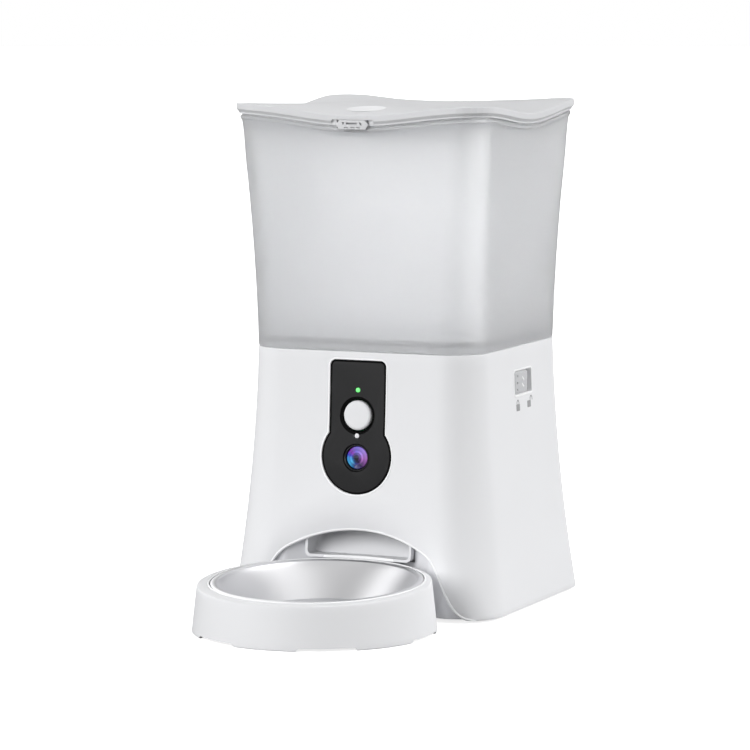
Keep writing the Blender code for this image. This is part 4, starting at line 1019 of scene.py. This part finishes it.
def make_underside():
    """Bottom plate, battery door, feet, screws and power inlet."""
    half = half_width(0.0055) - BASE_WALL - GAP * 2
    outline = square(half, corner_radius(0.0055) - BASE_WALL)
    door = [(-0.0330, -0.0262), (0.0330, -0.0262), (0.0330, 0.0835), (-0.0330, 0.0835)]
    holes = [circle(0.0017, 24, x, y) for x in (-SCREW_X, SCREW_X) for y in SCREW_Y]
    flat = plate(outline, 0.0030, 0.0055, [door, *holes])
    bay = placed(rod(BAY_R + 0.0023 + GAP, -0.02, 0.02, FINE), (0, TRAY_Y, 0))
    tongue = block((-0.0230, -0.075, -0.01), (0.0230, -0.0480, 0.02))
    forward = block((-0.100, -0.110, -0.01), (0.100, -0.0800, 0.02))
    flat = carve(flat, cuts=[bay, tongue, forward])
    show("base_bottom_look", flat, WHITE_IN, "base", "base_bottom", slot="white_abs")
    hatch = block((-0.0326, -0.0258, 0.0026), (0.0326, 0.0740, 0.0050), 0.0004)
    ribs = [block((-0.0120, 0.0600 + 0.0022 * i, 0.0020),
                  (0.0120, 0.0610 + 0.0022 * i, 0.0030), 0.0003) for i in range(4)]
    show("battery_door_look", carve(hatch, cuts=ribs), WHITE_IN, "cell_door",
         "battery_door", slot="white_abs")
    for name, x, y in corners(0.0640, (-0.0470, 0.0640)):
        foot = turned(soft([(0.0, 0.0027), (0.0075, 0.0027), (0.0075, 0.0006),
                            (0.0069, 0.0), (0.0042, 0.0), (0.0038, 0.0003),
                            (0.0, 0.0003)], 0.0003), 64)
        show(f"foot_{name}_look", placed(foot, (x, y, 0)), RUBBER, "base",
             f"foot_{name}", slot="grey_rubber")
    for name, x, y in corners(SCREW_X, SCREW_Y):
        screw = turned([(0.0, 0.0160), (0.0008, 0.0160), (0.0013, 0.0140),
                        (0.0013, 0.0027), (0.0028, 0.0027), (0.0028, 0.0018),
                        (0.0024, 0.0013), (0.0016, 0.0010), (0.0, 0.0010)], 32)
        cross = [block((-0.0015, -0.00025, 0.0), (0.0015, 0.00025, 0.0017)),
                 block((-0.00025, -0.0015, 0.0), (0.00025, 0.0015, 0.0017))]
        show(f"bottom_screw_{name}_look", placed(carve(screw, cuts=cross), (x, y, 0)),
             STEEL, "base", f"bottom_screw_{name}", slot="satin_steel")
    inlet = turned(soft([(0.0, -0.0095), (0.0032, -0.0095), (0.0032, 0.0), (0.0049, 0.0),
                         (0.0049, -0.0125), (0.0, -0.0125)], 0.0002), 64)
    spot = (INLET_X, half_width(INLET_Z) - 0.0006, INLET_Z)
    turn = (math.radians(-90.0), 0, 0)
    show("dc_inlet_look", placed(inlet, spot, turn), MATTE, "base", "dc_inlet",
         slot="black_matte")
    pin = turned(soft([(0.0, -0.0010), (0.0010, -0.0012), (0.0010, -0.0094),
                       (0.0, -0.0094)], 0.0003), 32)
    show("dc_pin_look", placed(pin, spot, turn), STEEL, "base", slot="satin_steel")


# ---------------------------------------------------------------- hopper
def waved(half, radius, drop, z=None, share=1.0, steps=12):
    """A lid-shaped ring: below the waved edge by a drop, or part way to a level."""
    ring = []
    for x, y in square(half, radius, 8, steps):
        edge = lid_edge(x, y) - drop
        height = edge if z is None else z + (edge - z) * share
        ring.append((x, y, height))
    return ring


def hopper_rings(inset):
    """Rings of the hopper wall, from the seam to under the rim band."""
    seam = SEAM_Z + GAP / 2
    rings = []
    for z in levels(seam, 0.2750, 24):
        rings.append([(x, y, z) for x, y in
                      square(half_width(z) - inset, corner_radius(z) - inset, 8, 12)])
    for i in range(1, 9):
        t = i / 8
        z = 0.2750 + 0.0240 * t
        rings.append(waved(half_width(z) - inset, corner_radius(z) - inset, 0.0103, z,
                           t ** 1.6))
    return rings


def make_hopper():
    """Frosted wall with its spigot and a rim band that follows the lid's wave."""
    spigot = half_width(SEAM_Z) - BASE_WALL - 0.0006
    spigot_r = corner_radius(SEAM_Z) - BASE_WALL
    seam = SEAM_Z + GAP / 2
    band = half_width(0.300) + 0.0006
    band_r = RIM_CORNER + 0.0006

    def flat(half, radius, z):
        return [(x, y, z) for x, y in square(half, radius, 8, 12)]

    outer = [flat(spigot, spigot_r, DECK_Z + 0.0060), flat(spigot, spigot_r, seam - 0.0002),
             flat(spigot + 0.0004, spigot_r + 0.0004, seam),
             flat(half_width(seam) - 0.0005, corner_radius(seam) - 0.0005, seam),
             flat(half_width(seam) - 0.0001, corner_radius(seam), seam + 0.0003)]
    outer += hopper_rings(0.0)[1:]
    outer += [waved(band - 0.0006, band_r - 0.0006, 0.0099),
              waved(band - 0.0001, band_r, 0.0097), waved(band, band_r, 0.0094),
              waved(band, band_r, 0.0079), waved(band - 0.0002, band_r, 0.0077),
              waved(band - 0.0009, band_r - 0.0009, 0.0075),
              waved(band - 0.0009, band_r - 0.0009, 0.0068)]
    inner = [waved(band - HOPPER_WALL, band_r - HOPPER_WALL, 0.0068),
             waved(band - HOPPER_WALL, band_r - HOPPER_WALL, 0.0095)]
    inner += list(reversed(hopper_rings(HOPPER_WALL)))[:-1]
    inner += [flat(spigot - HOPPER_WALL, spigot_r - HOPPER_WALL, seam + 0.0010),
              flat(spigot - HOPPER_WALL, spigot_r - HOPPER_WALL, DECK_Z + 0.0060)]
    show("hopper_look", loft(outer + inner, closed=True, sharp=24.0), FROST, "tank",
         "hopper", slot="frosted_clear")


def make_tank_inside():
    """Sloped floor, rotor housing and their fittings."""
    top_z = 0.1700
    low_z = 0.1556
    inset = HOPPER_WALL + GAP * 2
    top = square(half_width(top_z) - inset, corner_radius(top_z) - inset, 12, 8)
    count = len(top)
    start = math.atan2(top[0][1], top[0][0])
    mouth = HOUSING_R - 0.0024

    def ring(t, drop):
        points = []
        for i, (x, y) in enumerate(top):
            a = start + 2 * math.pi * i / count
            cx = mouth * math.cos(a)
            cy = mouth * math.sin(a)
            points.append((cx + (x - cx) * t, cy + (y - cy) * t,
                           low_z + (top_z - low_z) * t - drop))
        return points

    shares = levels(0.0, 1.0, 9)
    rings = [ring(t, 0.0) for t in shares]
    rings += [[(x, y, z - 0.0100) for x, y, z in rings[-1]],
              [(x * 0.989, y * 0.989, z - 0.0100) for x, y, z in rings[-1]]]
    rings += [ring(t, 0.0018) for t in (0.98, *reversed(shares[:-1]))]
    # The funnel's darker plastic is painted shade.
    show("hopper_funnel_look", loft(rings, closed=True), SHADED_IN, "tank",
         "hopper_funnel", slot="white_abs")
    wall = 0.0020
    floor = HOUSING_FLOOR_Z
    low = DECK_Z + DECK_THICK + GAP
    cup = turned([(HOUSING_R - wall, 0.1552), (0.0576, 0.1552), (0.0580, 0.1548),
                  (0.0580, low), (HOUSING_R, low), (HOUSING_R, floor + 0.0010),
                  (HOUSING_R - 0.0010, floor), (0.0060, floor), (0.0060, floor + wall),
                  (HOUSING_R - wall - 0.0015, floor + wall),
                  (HOUSING_R - wall, floor + wall + 0.0015), (HOUSING_R - wall, 0.1552)],
                 128)
    outlet = []
    for radius, side in ((0.0480, 1), (0.0240, -1)):
        for i in range(17):
            a = math.radians(-90.0 + side * (-26.0 + 52.0 * i / 16))
            outlet.append((radius * math.cos(a), radius * math.sin(a)))
    cup = carve(cup, cuts=[plate(outlet, floor - 0.01, floor + 0.01)])
    show("rotor_housing_look", cup, WHITE_IN, "tank", "rotor_housing", slot="white_abs")


def make_rotor():
    """Soft six-bladed rotor and the stirrer on its hub."""
    hub = 0.0100
    half_blade = 0.0011
    outline = []
    for blade in range(6):
        a = math.radians(60.0 * blade + 30.0)
        side = math.asin(half_blade / hub)
        tip = math.asin(half_blade / ROTOR_R)
        for k in range(1, 5):
            b = a - math.radians(30.0) + k * (math.radians(30.0) - side) / 5
            outline.append((hub * math.cos(b), hub * math.sin(b)))
        for radius, share in ((hub, -side), (ROTOR_R - 0.0006, -tip), (ROTOR_R, -tip * 0.5),
                              (ROTOR_R, tip * 0.5), (ROTOR_R - 0.0006, tip), (hub, side)):
            outline.append((radius * math.cos(a + share), radius * math.sin(a + share)))
        for k in range(5):
            b = a + side + k * (math.radians(30.0) - side) / 5
            outline.append((hub * math.cos(b), hub * math.sin(b)))
    blades = plate(outline, 0.1130, 0.1460)
    blades = carve(blades, cuts=[placed(rod(0.0047, 0.1000, 0.1240, 6))])
    show("rotor_look", blades, SILICONE, "rotor", "rotor", slot="white_silicone")
    cone = turned(soft([(0.0, 0.1680), (0.0030, 0.1670), (0.0110, 0.1500),
                        (0.0110, 0.1463), (0.0, 0.1463)], 0.0010), 64)
    arm = turned(soft([(0.0, -0.0280), (0.0018, -0.0280), (0.0018, 0.0280),
                       (0.0, 0.0280)], 0.0008), 32)
    arm = placed(arm, (0, 0, 0.1560), (0, math.radians(90.0), 0))
    show("stirrer_look", carve(cone, adds=[arm]), WHITE_IN, "rotor", "stirrer",
         slot="white_abs")


# ---------------------------------------------------------------- lid
def crown(x, y, share):
    """Height of the lid's top: the waved edge blends into a flat crown."""
    u = min(max(share, 0.0), 1.0) ** 4
    return lid_edge(x, y) * u + LID_CROWN_Z * (1 - u)


def arc_down(radius, angle, steps):
    """Profile points of a ball's underside, from near its pole out to an angle."""
    return [(radius * math.sin(angle * i / steps), -radius * math.cos(angle * i / steps))
            for i in range(1, steps + 1)]


def make_dimple():
    """Line the thumb dimple with a thin dish, lighter than the lid as painted light;
    returns the ball that cuts it out.
    """
    top = crown(0, -LID_HALF, -DIMPLE_Y / LID_HALF)
    fall = top - crown(0, -LID_HALF, 0.001 - DIMPLE_Y / LID_HALF)
    slope = fall / (0.001 * LID_HALF)
    out = Vector((0.0, -slope, 1.0)).normalized()
    ball_r = (DIMPLE_R ** 2 + DIMPLE_DEPTH ** 2) / (2 * DIMPLE_DEPTH)
    spot = Vector((0.0, DIMPLE_Y, top)) + out * (ball_r - DIMPLE_DEPTH)
    turn = (math.atan2(slope, 1.0), 0, 0)
    edge = math.asin((DIMPLE_R - 0.0004) / ball_r)
    upper = ball_r - 0.00022
    lower = ball_r - 0.00002
    dish = [(0.0, -upper), *arc_down(upper, edge, 16),
            *reversed(arc_down(lower, edge, 16)), (0.0, -lower)]
    show("thumb_dimple_look", placed(turned(dish, 96), spot, turn), DISH_LIGHT_LOOK, "lid",
         slot="frosted_clear")
    rim = math.asin(DIMPLE_R * 1.5 / ball_r)
    ball = [(0.0, -ball_r), *arc_down(ball_r, rim, 24),
            (0.0, -ball_r * math.cos(rim) + 0.004)]
    return placed(turned(ball, 128), spot, turn)


def make_lid():
    """Waved lid with its skirt, thumb dimple, plug and the recess for the latch."""
    half = LID_HALF

    def face(share, drop):
        ring = []
        for x, y in square(half - 0.0006, LID_CORNER - 0.0006, 8, 12):
            ring.append((x * share, y * share, crown(x, y, share) - drop))
        return ring

    def side(wide, drop):
        return waved(wide, LID_CORNER - (half - wide), drop)

    plug = half_width(0.2900) - HOPPER_WALL - 0.0016
    rings = [[(0, 0, LID_CROWN_Z)]]
    rings += [face(share, 0.0) for share in
              (0.10, 0.20, 0.30, 0.40, 0.48, 0.56, 0.63, 0.69, 0.75, 0.80, 0.84, 0.88,
               0.91, 0.94, 0.97, 1.0)]
    foot = LID_SKIRT + LID_CHAMFER
    neck = half - 0.0040
    rings += [side(half - 0.0003, 0.0002), side(half, 0.0006),
              side(half, LID_SKIRT - 0.0003), side(half - 0.0002, LID_SKIRT),
              side(half - LID_CHAMFER, foot), side(half - LID_CHAMFER, foot + 0.0009),
              side(neck, foot + 0.0009), side(neck, LID_THICK + 0.0014),
              side(plug, LID_THICK + 0.0014), side(plug, 0.0130),
              side(plug - 0.0016, 0.0130)]
    inner = (plug - 0.0016) / (half - 0.0006)
    rings += [face(share, LID_THICK) for share in
              (inner, 0.88, 0.80, 0.69, 0.56, 0.40, 0.20)]
    rings += [[(0, 0, LID_CROWN_Z - LID_THICK)]]
    lid = loft(rings)
    dimple = make_dimple()
    latch_half = 0.0107
    latch_back = -0.0828
    under = 0.2950
    edge = lid_edge(0, half)
    notch = block((-latch_half, -0.0900, under), (latch_half, latch_back, 0.3036))
    tab = upright([(-0.0135, edge - 0.0024), (0.0135, edge - 0.0024),
                   (0.0150, edge - 0.0090), (-0.0150, edge - 0.0090)],
                  -0.0920, -half + 0.0015)
    pocket = block((-latch_half, -half + 0.0006, under),
                   (latch_half, latch_back, 0.3053))
    lid = carve(lid, cuts=[dimple, tab, notch, pocket], sharp=7.0)
    show("lid_look", lid, LID_LOOK, "lid", "lid", slot="frosted_clear")
    seal_out = half_width(0.2900) - HOPPER_WALL - GAP
    seal_in = plug + GAP
    seal = []
    for wide, drop in ((seal_out - 0.0003, 0.0100), (seal_out, 0.0103), (seal_out, 0.0115),
                       (seal_out - 0.0003, 0.0118), (seal_in, 0.0118), (seal_in, 0.0100)):
        seal.append(side(wide, drop))
    show("lid_gasket_look", loft(seal, closed=True), SILICONE, "lid", "lid_gasket",
         slot="white_silicone")


def make_latch():
    """Buckle with pointed ends, three slots and a row of small dashes."""
    pivot = (0.0, -0.0848, 0.3040)
    outline = [(-0.0084, -0.0003), (0.0084, -0.0003), (0.0104, -0.0028), (0.0104, -0.0036),
               (0.0086, -0.0060), (-0.0086, -0.0060), (-0.0104, -0.0036),
               (-0.0104, -0.0028)]
    window = [(-0.0040, -0.0020), (0.0030, -0.0020), (0.0030, -0.0030), (-0.0040, -0.0030)]
    left = [(-0.0066, -0.0018), (-0.0052, -0.0018), (-0.0059, -0.0032), (-0.0063, -0.0032)]
    right = [(0.0044, -0.0018), (0.0054, -0.0018), (0.0066, -0.0034), (0.0056, -0.0034)]
    dashes = [[(x - 0.0013, -0.0047), (x + 0.0013, -0.0047), (x + 0.0013, -0.0052),
               (x - 0.0013, -0.0052)] for x in (-0.0040, 0.0, 0.0040)]
    buckle = upright(outline, -0.0008, 0.0009, [window, left, right, *dashes])
    buckle = placed(rounded(buckle, 0.0002, 2), pivot)
    buckle = carve(buckle, cuts=[placed(rod(0.00085, -0.02, 0.02, 24), pivot,
                                        (0, math.radians(90.0), 0))])
    show("lid_latch_look", buckle, LID_LOOK, "latch", "lid_latch", slot="frosted_clear")


def make_desiccant():
    """Desiccant holder under the lid and its twist cover with vents."""
    top = LID_CROWN_Z - LID_THICK - GAP
    cup = turned(soft([(0.0250, top), (0.0268, top), (0.0268, top - 0.0150),
                       (0.0250, top - 0.0150), (0.0250, top)], 0.0003), 128)
    show("desiccant_cup_look", cup, WHITE_IN, "lid", "desiccant_cup", slot="white_abs")
    low = top - 0.0150 - GAP
    cover = turned(soft([(0.0, low), (0.0280, low), (0.0285, low - 0.0022),
                         (0.0, low - 0.0022)], 0.0006), 128)
    cuts = [block((-0.0110, -0.0015, low - 0.0100), (0.0110, 0.0015, low + 0.0100))]
    for i in range(12):
        a = 2 * math.pi * i / 12
        vent = block((0.0150, -0.0009, low - 0.0100), (0.0230, 0.0009, low + 0.0100))
        cuts.append(placed(vent, (0, 0, 0), (0, 0, a)))
    show("desiccant_cover_look", carve(cover, cuts=cuts), WHITE_IN, "desiccant_twist",
         "desiccant_cover", slot="white_abs")


# ---------------------------------------------------------------- tray and bowl
def make_tray():
    """Round tray with a soft edge, a seat for the bowl and six feet."""
    lean = (TRAY_R_FOOT - TRAY_R_TOP) / TRAY_TOP_Z
    steps = 192
    tilt = math.tan(TRAY_TILT)
    inside = 0.0024
    hollow_r = 0.0500
    shelf_z = 0.0215

    def ring(radius_at, height_at):
        points = []
        for x, y in circle(1.0, steps):
            h = height_at(y)
            r = radius_at(h)
            points.append((x * r, TRAY_Y + y * r, h))
        return points

    def top(y, drop=0.0):
        return TRAY_TOP_Z + y * TRAY_R_TOP * tilt - drop

    def wall(h, inset=0.0):
        return TRAY_R_FOOT - lean * h - inset

    rings = [ring(lambda h: wall(h, 0.0006), lambda y: 0.0),
             ring(lambda h: wall(h, 0.0001), lambda y: 0.0004),
             ring(wall, lambda y: 0.0010)]
    for t in levels(0.12, 0.86, 6):
        rings.append(ring(wall, lambda y, t=t: top(y) * t))
    for inset, drop in ((0.0000, 0.0012), (0.0001, 0.0007), (0.0003, 0.0003),
                        (0.0006, 0.0001), (0.0010, 0.0)):
        rings.append(ring(lambda h, i=inset: wall(h, i), lambda y, d=drop: top(y, d)))
    rings += [ring(lambda h: hollow_r, lambda y: top(y * hollow_r / TRAY_R_TOP)),
              ring(lambda h: hollow_r, lambda y: shelf_z),
              ring(lambda h: wall(h, inside), lambda y: shelf_z),
              ring(lambda h: wall(h, inside), lambda y: 0.0)]
    tray = loft(rings, closed=True)
    seat_r = BOWL_R + 0.0005
    well_r = 0.0612
    seat = turned([(0.0, 0.010), (seat_r, 0.010), (seat_r, -0.0016), (well_r, -0.0016),
                   (well_r, -0.0060), (0.0600, -0.0400), (0.0, -0.0400)], steps)
    seat = placed(seat, *BOWL_PLACE)
    tongue = block((-0.0200, -0.0830, 0.0024), (0.0200, -0.0500, 0.0052), 0.0004)
    cuts = [seat]
    for i in range(3):
        slot = loft([[(sx * 0.100, sy * half, z) for sx, sy in ((-1, -1), (1, -1), (1, 1),
                                                               (-1, 1))]
                     for half, z in ((0.0300, -0.0110), (0.0186, -0.0004),
                                     (0.0164, TRAY_FOOT_GAP))], caps=True)
        cuts.append(placed(slot, (0, TRAY_Y, 0), (0, 0, math.radians(60.0 * i))))
    tray = carve(tray, cuts=cuts, sharp=26.0)
    show("bowl_tray_look", carve(tray, adds=[tongue], sharp=26.0), WHITE, "tray",
         "bowl_tray", slot="white_abs")
    # A whiter bead round the bowl's seat: a painted highlight on the tray's top edge.
    bead = turned([(seat_r, -0.0010), (seat_r, -0.0001), (seat_r + 0.0003, 0.0003),
                   (seat_r + 0.0008, 0.0003), (seat_r + 0.0011, -0.0001),
                   (seat_r + 0.0011, -0.0010), (seat_r, -0.0010)], steps, 60.0)
    show("tray_edge_highlight_look", placed(bead, *BOWL_PLACE), WHITE_HIGHLIGHT, "tray",
         slot="white_abs")


def make_bowl():
    """Spun steel bowl with a rolled rim, a curved wall and a flat floor."""
    steel = 0.0009
    wall_r = 0.0596
    inside = [(wall_r + (BOWL_FLOOR_R - wall_r) * t,
               -0.0012 - (BOWL_DEPTH - 0.0012) * (t ** 0.84)) for t in levels(0.0, 1.0, 25)]
    outside = []
    for before, (r, z), after in zip(inside, inside[1:], inside[2:]):
        run = Vector((after[0] - before[0], after[1] - before[1])).normalized()
        outside.append((r - steel * run.y, z + steel * run.x))
    upper = [(0.0, -BOWL_DEPTH), (0.0150, -BOWL_DEPTH), (0.0300, -BOWL_DEPTH),
             (0.0400, -BOWL_DEPTH)] + list(reversed(inside))
    upper += [(0.0599, -0.0005), (0.0606, 0.0), (0.0616, 0.0002), (0.0630, 0.0002),
              (BOWL_R - 0.0008, 0.0001), (BOWL_R - 0.0002, -0.0001), (BOWL_R, -0.0004)]
    under = [(BOWL_R, -0.0007), (BOWL_R - 0.0003, -0.0009), (wall_r + 0.0014, -0.0009)]
    under += outside
    under += [(BOWL_FLOOR_R + 0.0003, -BOWL_DEPTH - steel), (0.0, -BOWL_DEPTH - steel)]
    bowl = placed(turned(upper + under, 192), *BOWL_PLACE)
    show("steel_bowl_look", bowl, STEEL, "bowl", "steel_bowl", slot="satin_steel")


# ---------------------------------------------------------------- drive and power
def gear(teeth, turn):
    """A spur gear outline with curved flanks."""
    pitch = GEAR_MODULE * teeth / 2
    points = []
    for tooth in range(teeth):
        middle = turn + 2 * math.pi * tooth / teeth
        for rise, share in ((-1.20, -0.36), (-0.60, -0.31), (0.0, -0.25), (0.50, -0.18),
                            (0.90, -0.11), (0.90, 0.11), (0.50, 0.18), (0.0, 0.25),
                            (-0.60, 0.31), (-1.20, 0.36)):
            a = middle + share * 2 * math.pi / teeth
            radius = pitch + GEAR_MODULE * rise
            points.append((radius * math.cos(a), radius * math.sin(a)))
    return points


def make_drive():
    """Drive gear with its dog and the motor's pinion."""
    pinion_y = GEAR_MODULE * 48 / 2
    wheel = plate(gear(28, math.pi / 2 + math.pi / 28), *GEAR_Z)
    wheel = carve(wheel, adds=[rod(0.0045, GEAR_Z[0] - 0.0080, GEAR_Z[1] + 0.0010, 48),
                               rod(0.0040, GEAR_Z[1], 0.1220, 6)])
    show("drive_gear_look", wheel, NYLON, "drive", "drive_gear", slot="gear_nylon")
    pinion = plate(gear(20, -math.pi / 2), *GEAR_Z)
    pinion = carve(pinion, adds=[rod(0.0030, 0.0850, GEAR_Z[1] + 0.0010, 32)])
    show("motor_pinion_look", placed(pinion, (0, pinion_y, 0)), NYLON, "pinion",
         "motor_pinion", slot="gear_nylon")


def dress_inner_parts():
    """Parts seen only when the feeder is open keep their CAD shape with a real finish."""
    looks = {"main_board": BOARD, "panel_board": BOARD, "tact_switch": MATTE,
             "motor_mount": WHITE_IN, "gearbox_case": MATTE, "drive_motor": MOTOR,
             "speaker": MATTE, "battery_box": WHITE_IN, "battery_cell_1": CELL,
             "battery_cell_2": CELL, "battery_cell_3": CELL, "contact_spring_1": SPRING,
             "contact_spring_2": SPRING, "contact_spring_3": SPRING, "lock_bolt": WHITE_IN,
             "lock_keeper": WHITE_IN, "outlet_shield": SILICONE, "latch_pin": STEEL}
    for name, look in looks.items():
        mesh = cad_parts[name].data
        mesh.materials.clear()
        mesh.materials.append(look)


make_base()
make_bay()
make_arch_edge()
make_chute()
make_panel()
make_panel_pieces()
make_marks()
make_lock()
make_underside()
make_hopper()
make_tank_inside()
make_rotor()
make_lid()
make_latch()
make_desiccant()
make_tray()
make_bowl()
make_drive()
dress_inner_parts()

# ---------------------------------------------------------------- stage, light, camera
FLOOR_R = 14.0
FLOOR_LIFT = 0.80           # how far the floor's own glow brings it towards white
FLOOR_BOUNCE = 0.33         # tone of the floor as the feeder sees it
SUN_ELEVATION = 21.0
SUN_SPREAD = 42.0
SUNS = (("key_front", -24.0, 2.34), ("rim_right", 121.0, 2.72), ("back_fill", -168.0, 0.7))
ROOM_FILL = 0.35
ROOM_NEAR = 0.70            # the mirrored room on the camera's side, and on the far side
ROOM_FAR = 0.16
ROOM_THROUGH = 2.62         # the room as it shines through the frosted plastics
ROOM_BOXES = ((96.0, 62.0, 42.0, 0.60), (-112.0, 26.0, 50.0, 1.9))
CAMERA_AZIMUTH = 23.6
CAMERA_ELEVATION = 6.2
CAMERA_DISTANCE = 2.465
CAMERA_AIM = Vector((-0.01755, 0.05204, 0.1404))
CAMERA_LENS = 188.3


def stage_floor():
    """A pale floor that bounces little light back up, so undersides stay soft grey."""
    made, tree, add, shader = new_material("floor_matte")
    slow = noise_in(tree, add, 0.8)
    tone = add("ShaderNodeValToRGB")
    set_ramp(tone, ((0.0, (0.895, 0.895, 0.90)), (1.0, (0.905, 0.905, 0.91))))
    tree.links.new(slow.outputs["Fac"], tone.inputs["Fac"])
    tree.links.new(tone.outputs["Color"], shader.inputs["Base Color"])
    shader.inputs["Roughness"].default_value = 0.85
    shader.inputs["Emission Color"].default_value = (1.0, 1.0, 1.0, 1.0)
    shader.inputs["Emission Strength"].default_value = FLOOR_LIFT
    dull = add("ShaderNodeBsdfDiffuse", Color=(*[FLOOR_BOUNCE] * 3, 1.0))
    path = add("ShaderNodeLightPath")
    blend = add("ShaderNodeMixShader")
    tree.links.new(path.outputs["Is Camera Ray"], blend.inputs["Fac"])
    tree.links.new(dull.outputs["BSDF"], blend.inputs[1])
    tree.links.new(shader.outputs["BSDF"], blend.inputs[2])
    tree.links.new(blend.outputs["Shader"], tree.nodes["Material Output"].inputs["Surface"])
    mesh = bpy.data.meshes.new("floor")
    ground = bmesh.new()
    bmesh.ops.create_circle(ground, cap_ends=True, segments=96, radius=FLOOR_R)
    ground.to_mesh(mesh)
    ground.free()
    mesh.materials.append(made)
    floor = bpy.data.objects.new("floor", mesh)
    floor.location = (0.0, 0.0, -0.0001)
    bpy.context.scene.collection.objects.link(floor)


def toward(azimuth, elevation):
    """The unit direction from the object towards an azimuth and elevation."""
    a = math.radians(azimuth)
    e = math.radians(elevation)
    return Vector((math.sin(a) * math.cos(e), -math.cos(a) * math.cos(e), math.sin(e)))


def soft_sun(name, azimuth, strength):
    """A distant light with a wide disc, so that its shadows are soft."""
    away = toward(azimuth, SUN_ELEVATION)
    data = bpy.data.lights.new(name, "SUN")
    data.angle = math.radians(SUN_SPREAD)
    data.energy = strength
    lamp = bpy.data.objects.new(name, data)
    lamp.location = away
    lamp.rotation_euler = (-away).to_track_quat("-Z", "Y").to_euler()
    lamp.visible_glossy = False
    bpy.context.scene.collection.objects.link(lamp)


def sheen_panel(name, azimuth, distance, low, width, height, radiance):
    """An upright soft box that shows only in reflections."""
    data = bpy.data.lights.new(name, "AREA")
    data.shape = "RECTANGLE"
    data.size = width
    data.size_y = height
    data.energy = radiance * math.pi * width * height
    lamp = bpy.data.objects.new(name, data)
    away = toward(azimuth, 0.0)
    lamp.location = away * distance + Vector((0.0, AXIS_Y, low + height / 2))
    lamp.rotation_euler = (-away).to_track_quat("-Z", "Y").to_euler()
    lamp.visible_diffuse = False
    lamp.visible_transmission = False
    lamp.visible_camera = False
    bpy.context.scene.collection.objects.link(lamp)


def studio():
    """A white room: an even fill, and two soft glows that show in reflections."""
    world = bpy.data.worlds.new("studio")
    world.use_nodes = True
    tree = world.node_tree
    add = adder(tree)

    def light(strength):
        return add("ShaderNodeBackground", Color=(1.0, 1.0, 1.0, 1.0), Strength=strength)

    def choose(ray, no, yes):
        node = add("ShaderNodeMixShader")
        tree.links.new(path.outputs[ray], node.inputs["Fac"])
        tree.links.new(no, node.inputs[1])
        tree.links.new(yes, node.inputs[2])
        return node.outputs["Shader"]

    def lobe(direction, start, end, low, high):
        dot = add("ShaderNodeVectorMath", operation="DOT_PRODUCT")
        dot.inputs[1].default_value = direction
        tree.links.new(place.outputs["Generated"], dot.inputs[0])
        fade = add("ShaderNodeMapRange", interpolation_type="SMOOTHSTEP", From_Min=start,
                   From_Max=end, To_Min=low, To_Max=high)
        tree.links.new(dot.outputs["Value"], fade.inputs["Value"])
        return fade.outputs["Result"]

    path = add("ShaderNodeLightPath")
    place = add("ShaderNodeTexCoord")
    total = lobe(toward(CAMERA_AZIMUTH + 180.0, 0.0), -0.5, 0.4, ROOM_NEAR, ROOM_FAR)
    for azimuth, elevation, spread, strength in ROOM_BOXES:
        both = add("ShaderNodeMath", operation="ADD")
        tree.links.new(total, both.inputs[0])
        glow = lobe(toward(azimuth, elevation), math.cos(math.radians(spread)), 1.0, 0.0,
                    strength)
        tree.links.new(glow, both.inputs[1])
        total = both.outputs["Value"]
    mirrored = light(1.0)
    tree.links.new(total, mirrored.inputs["Strength"])
    shader = choose("Is Glossy Ray", light(ROOM_FILL).outputs[0], mirrored.outputs[0])
    shader = choose("Is Transmission Ray", shader, light(ROOM_THROUGH).outputs[0])
    shader = choose("Is Camera Ray", shader, light(1.0).outputs[0])
    tree.links.new(shader, tree.nodes["World Output"].inputs["Surface"])
    bpy.context.scene.world = world


stage_floor()
for sun in SUNS:
    soft_sun(*sun)
sheen_panel("sheen_right", 78.0, 0.95, 0.06, 1.10, 0.60, 2.6)
studio()
bpy.context.scene.view_settings.view_transform = "Standard"

lens = bpy.data.cameras.new("camera")
lens.lens = CAMERA_LENS
lens.sensor_width = 36.0
camera = bpy.data.objects.new("camera", lens)
away = toward(CAMERA_AZIMUTH, CAMERA_ELEVATION)
camera.location = CAMERA_AIM + away * CAMERA_DISTANCE
camera.rotation_euler = (-away).to_track_quat("-Z", "Y").to_euler()
bpy.context.scene.collection.objects.link(camera)
bpy.context.scene.camera = camera
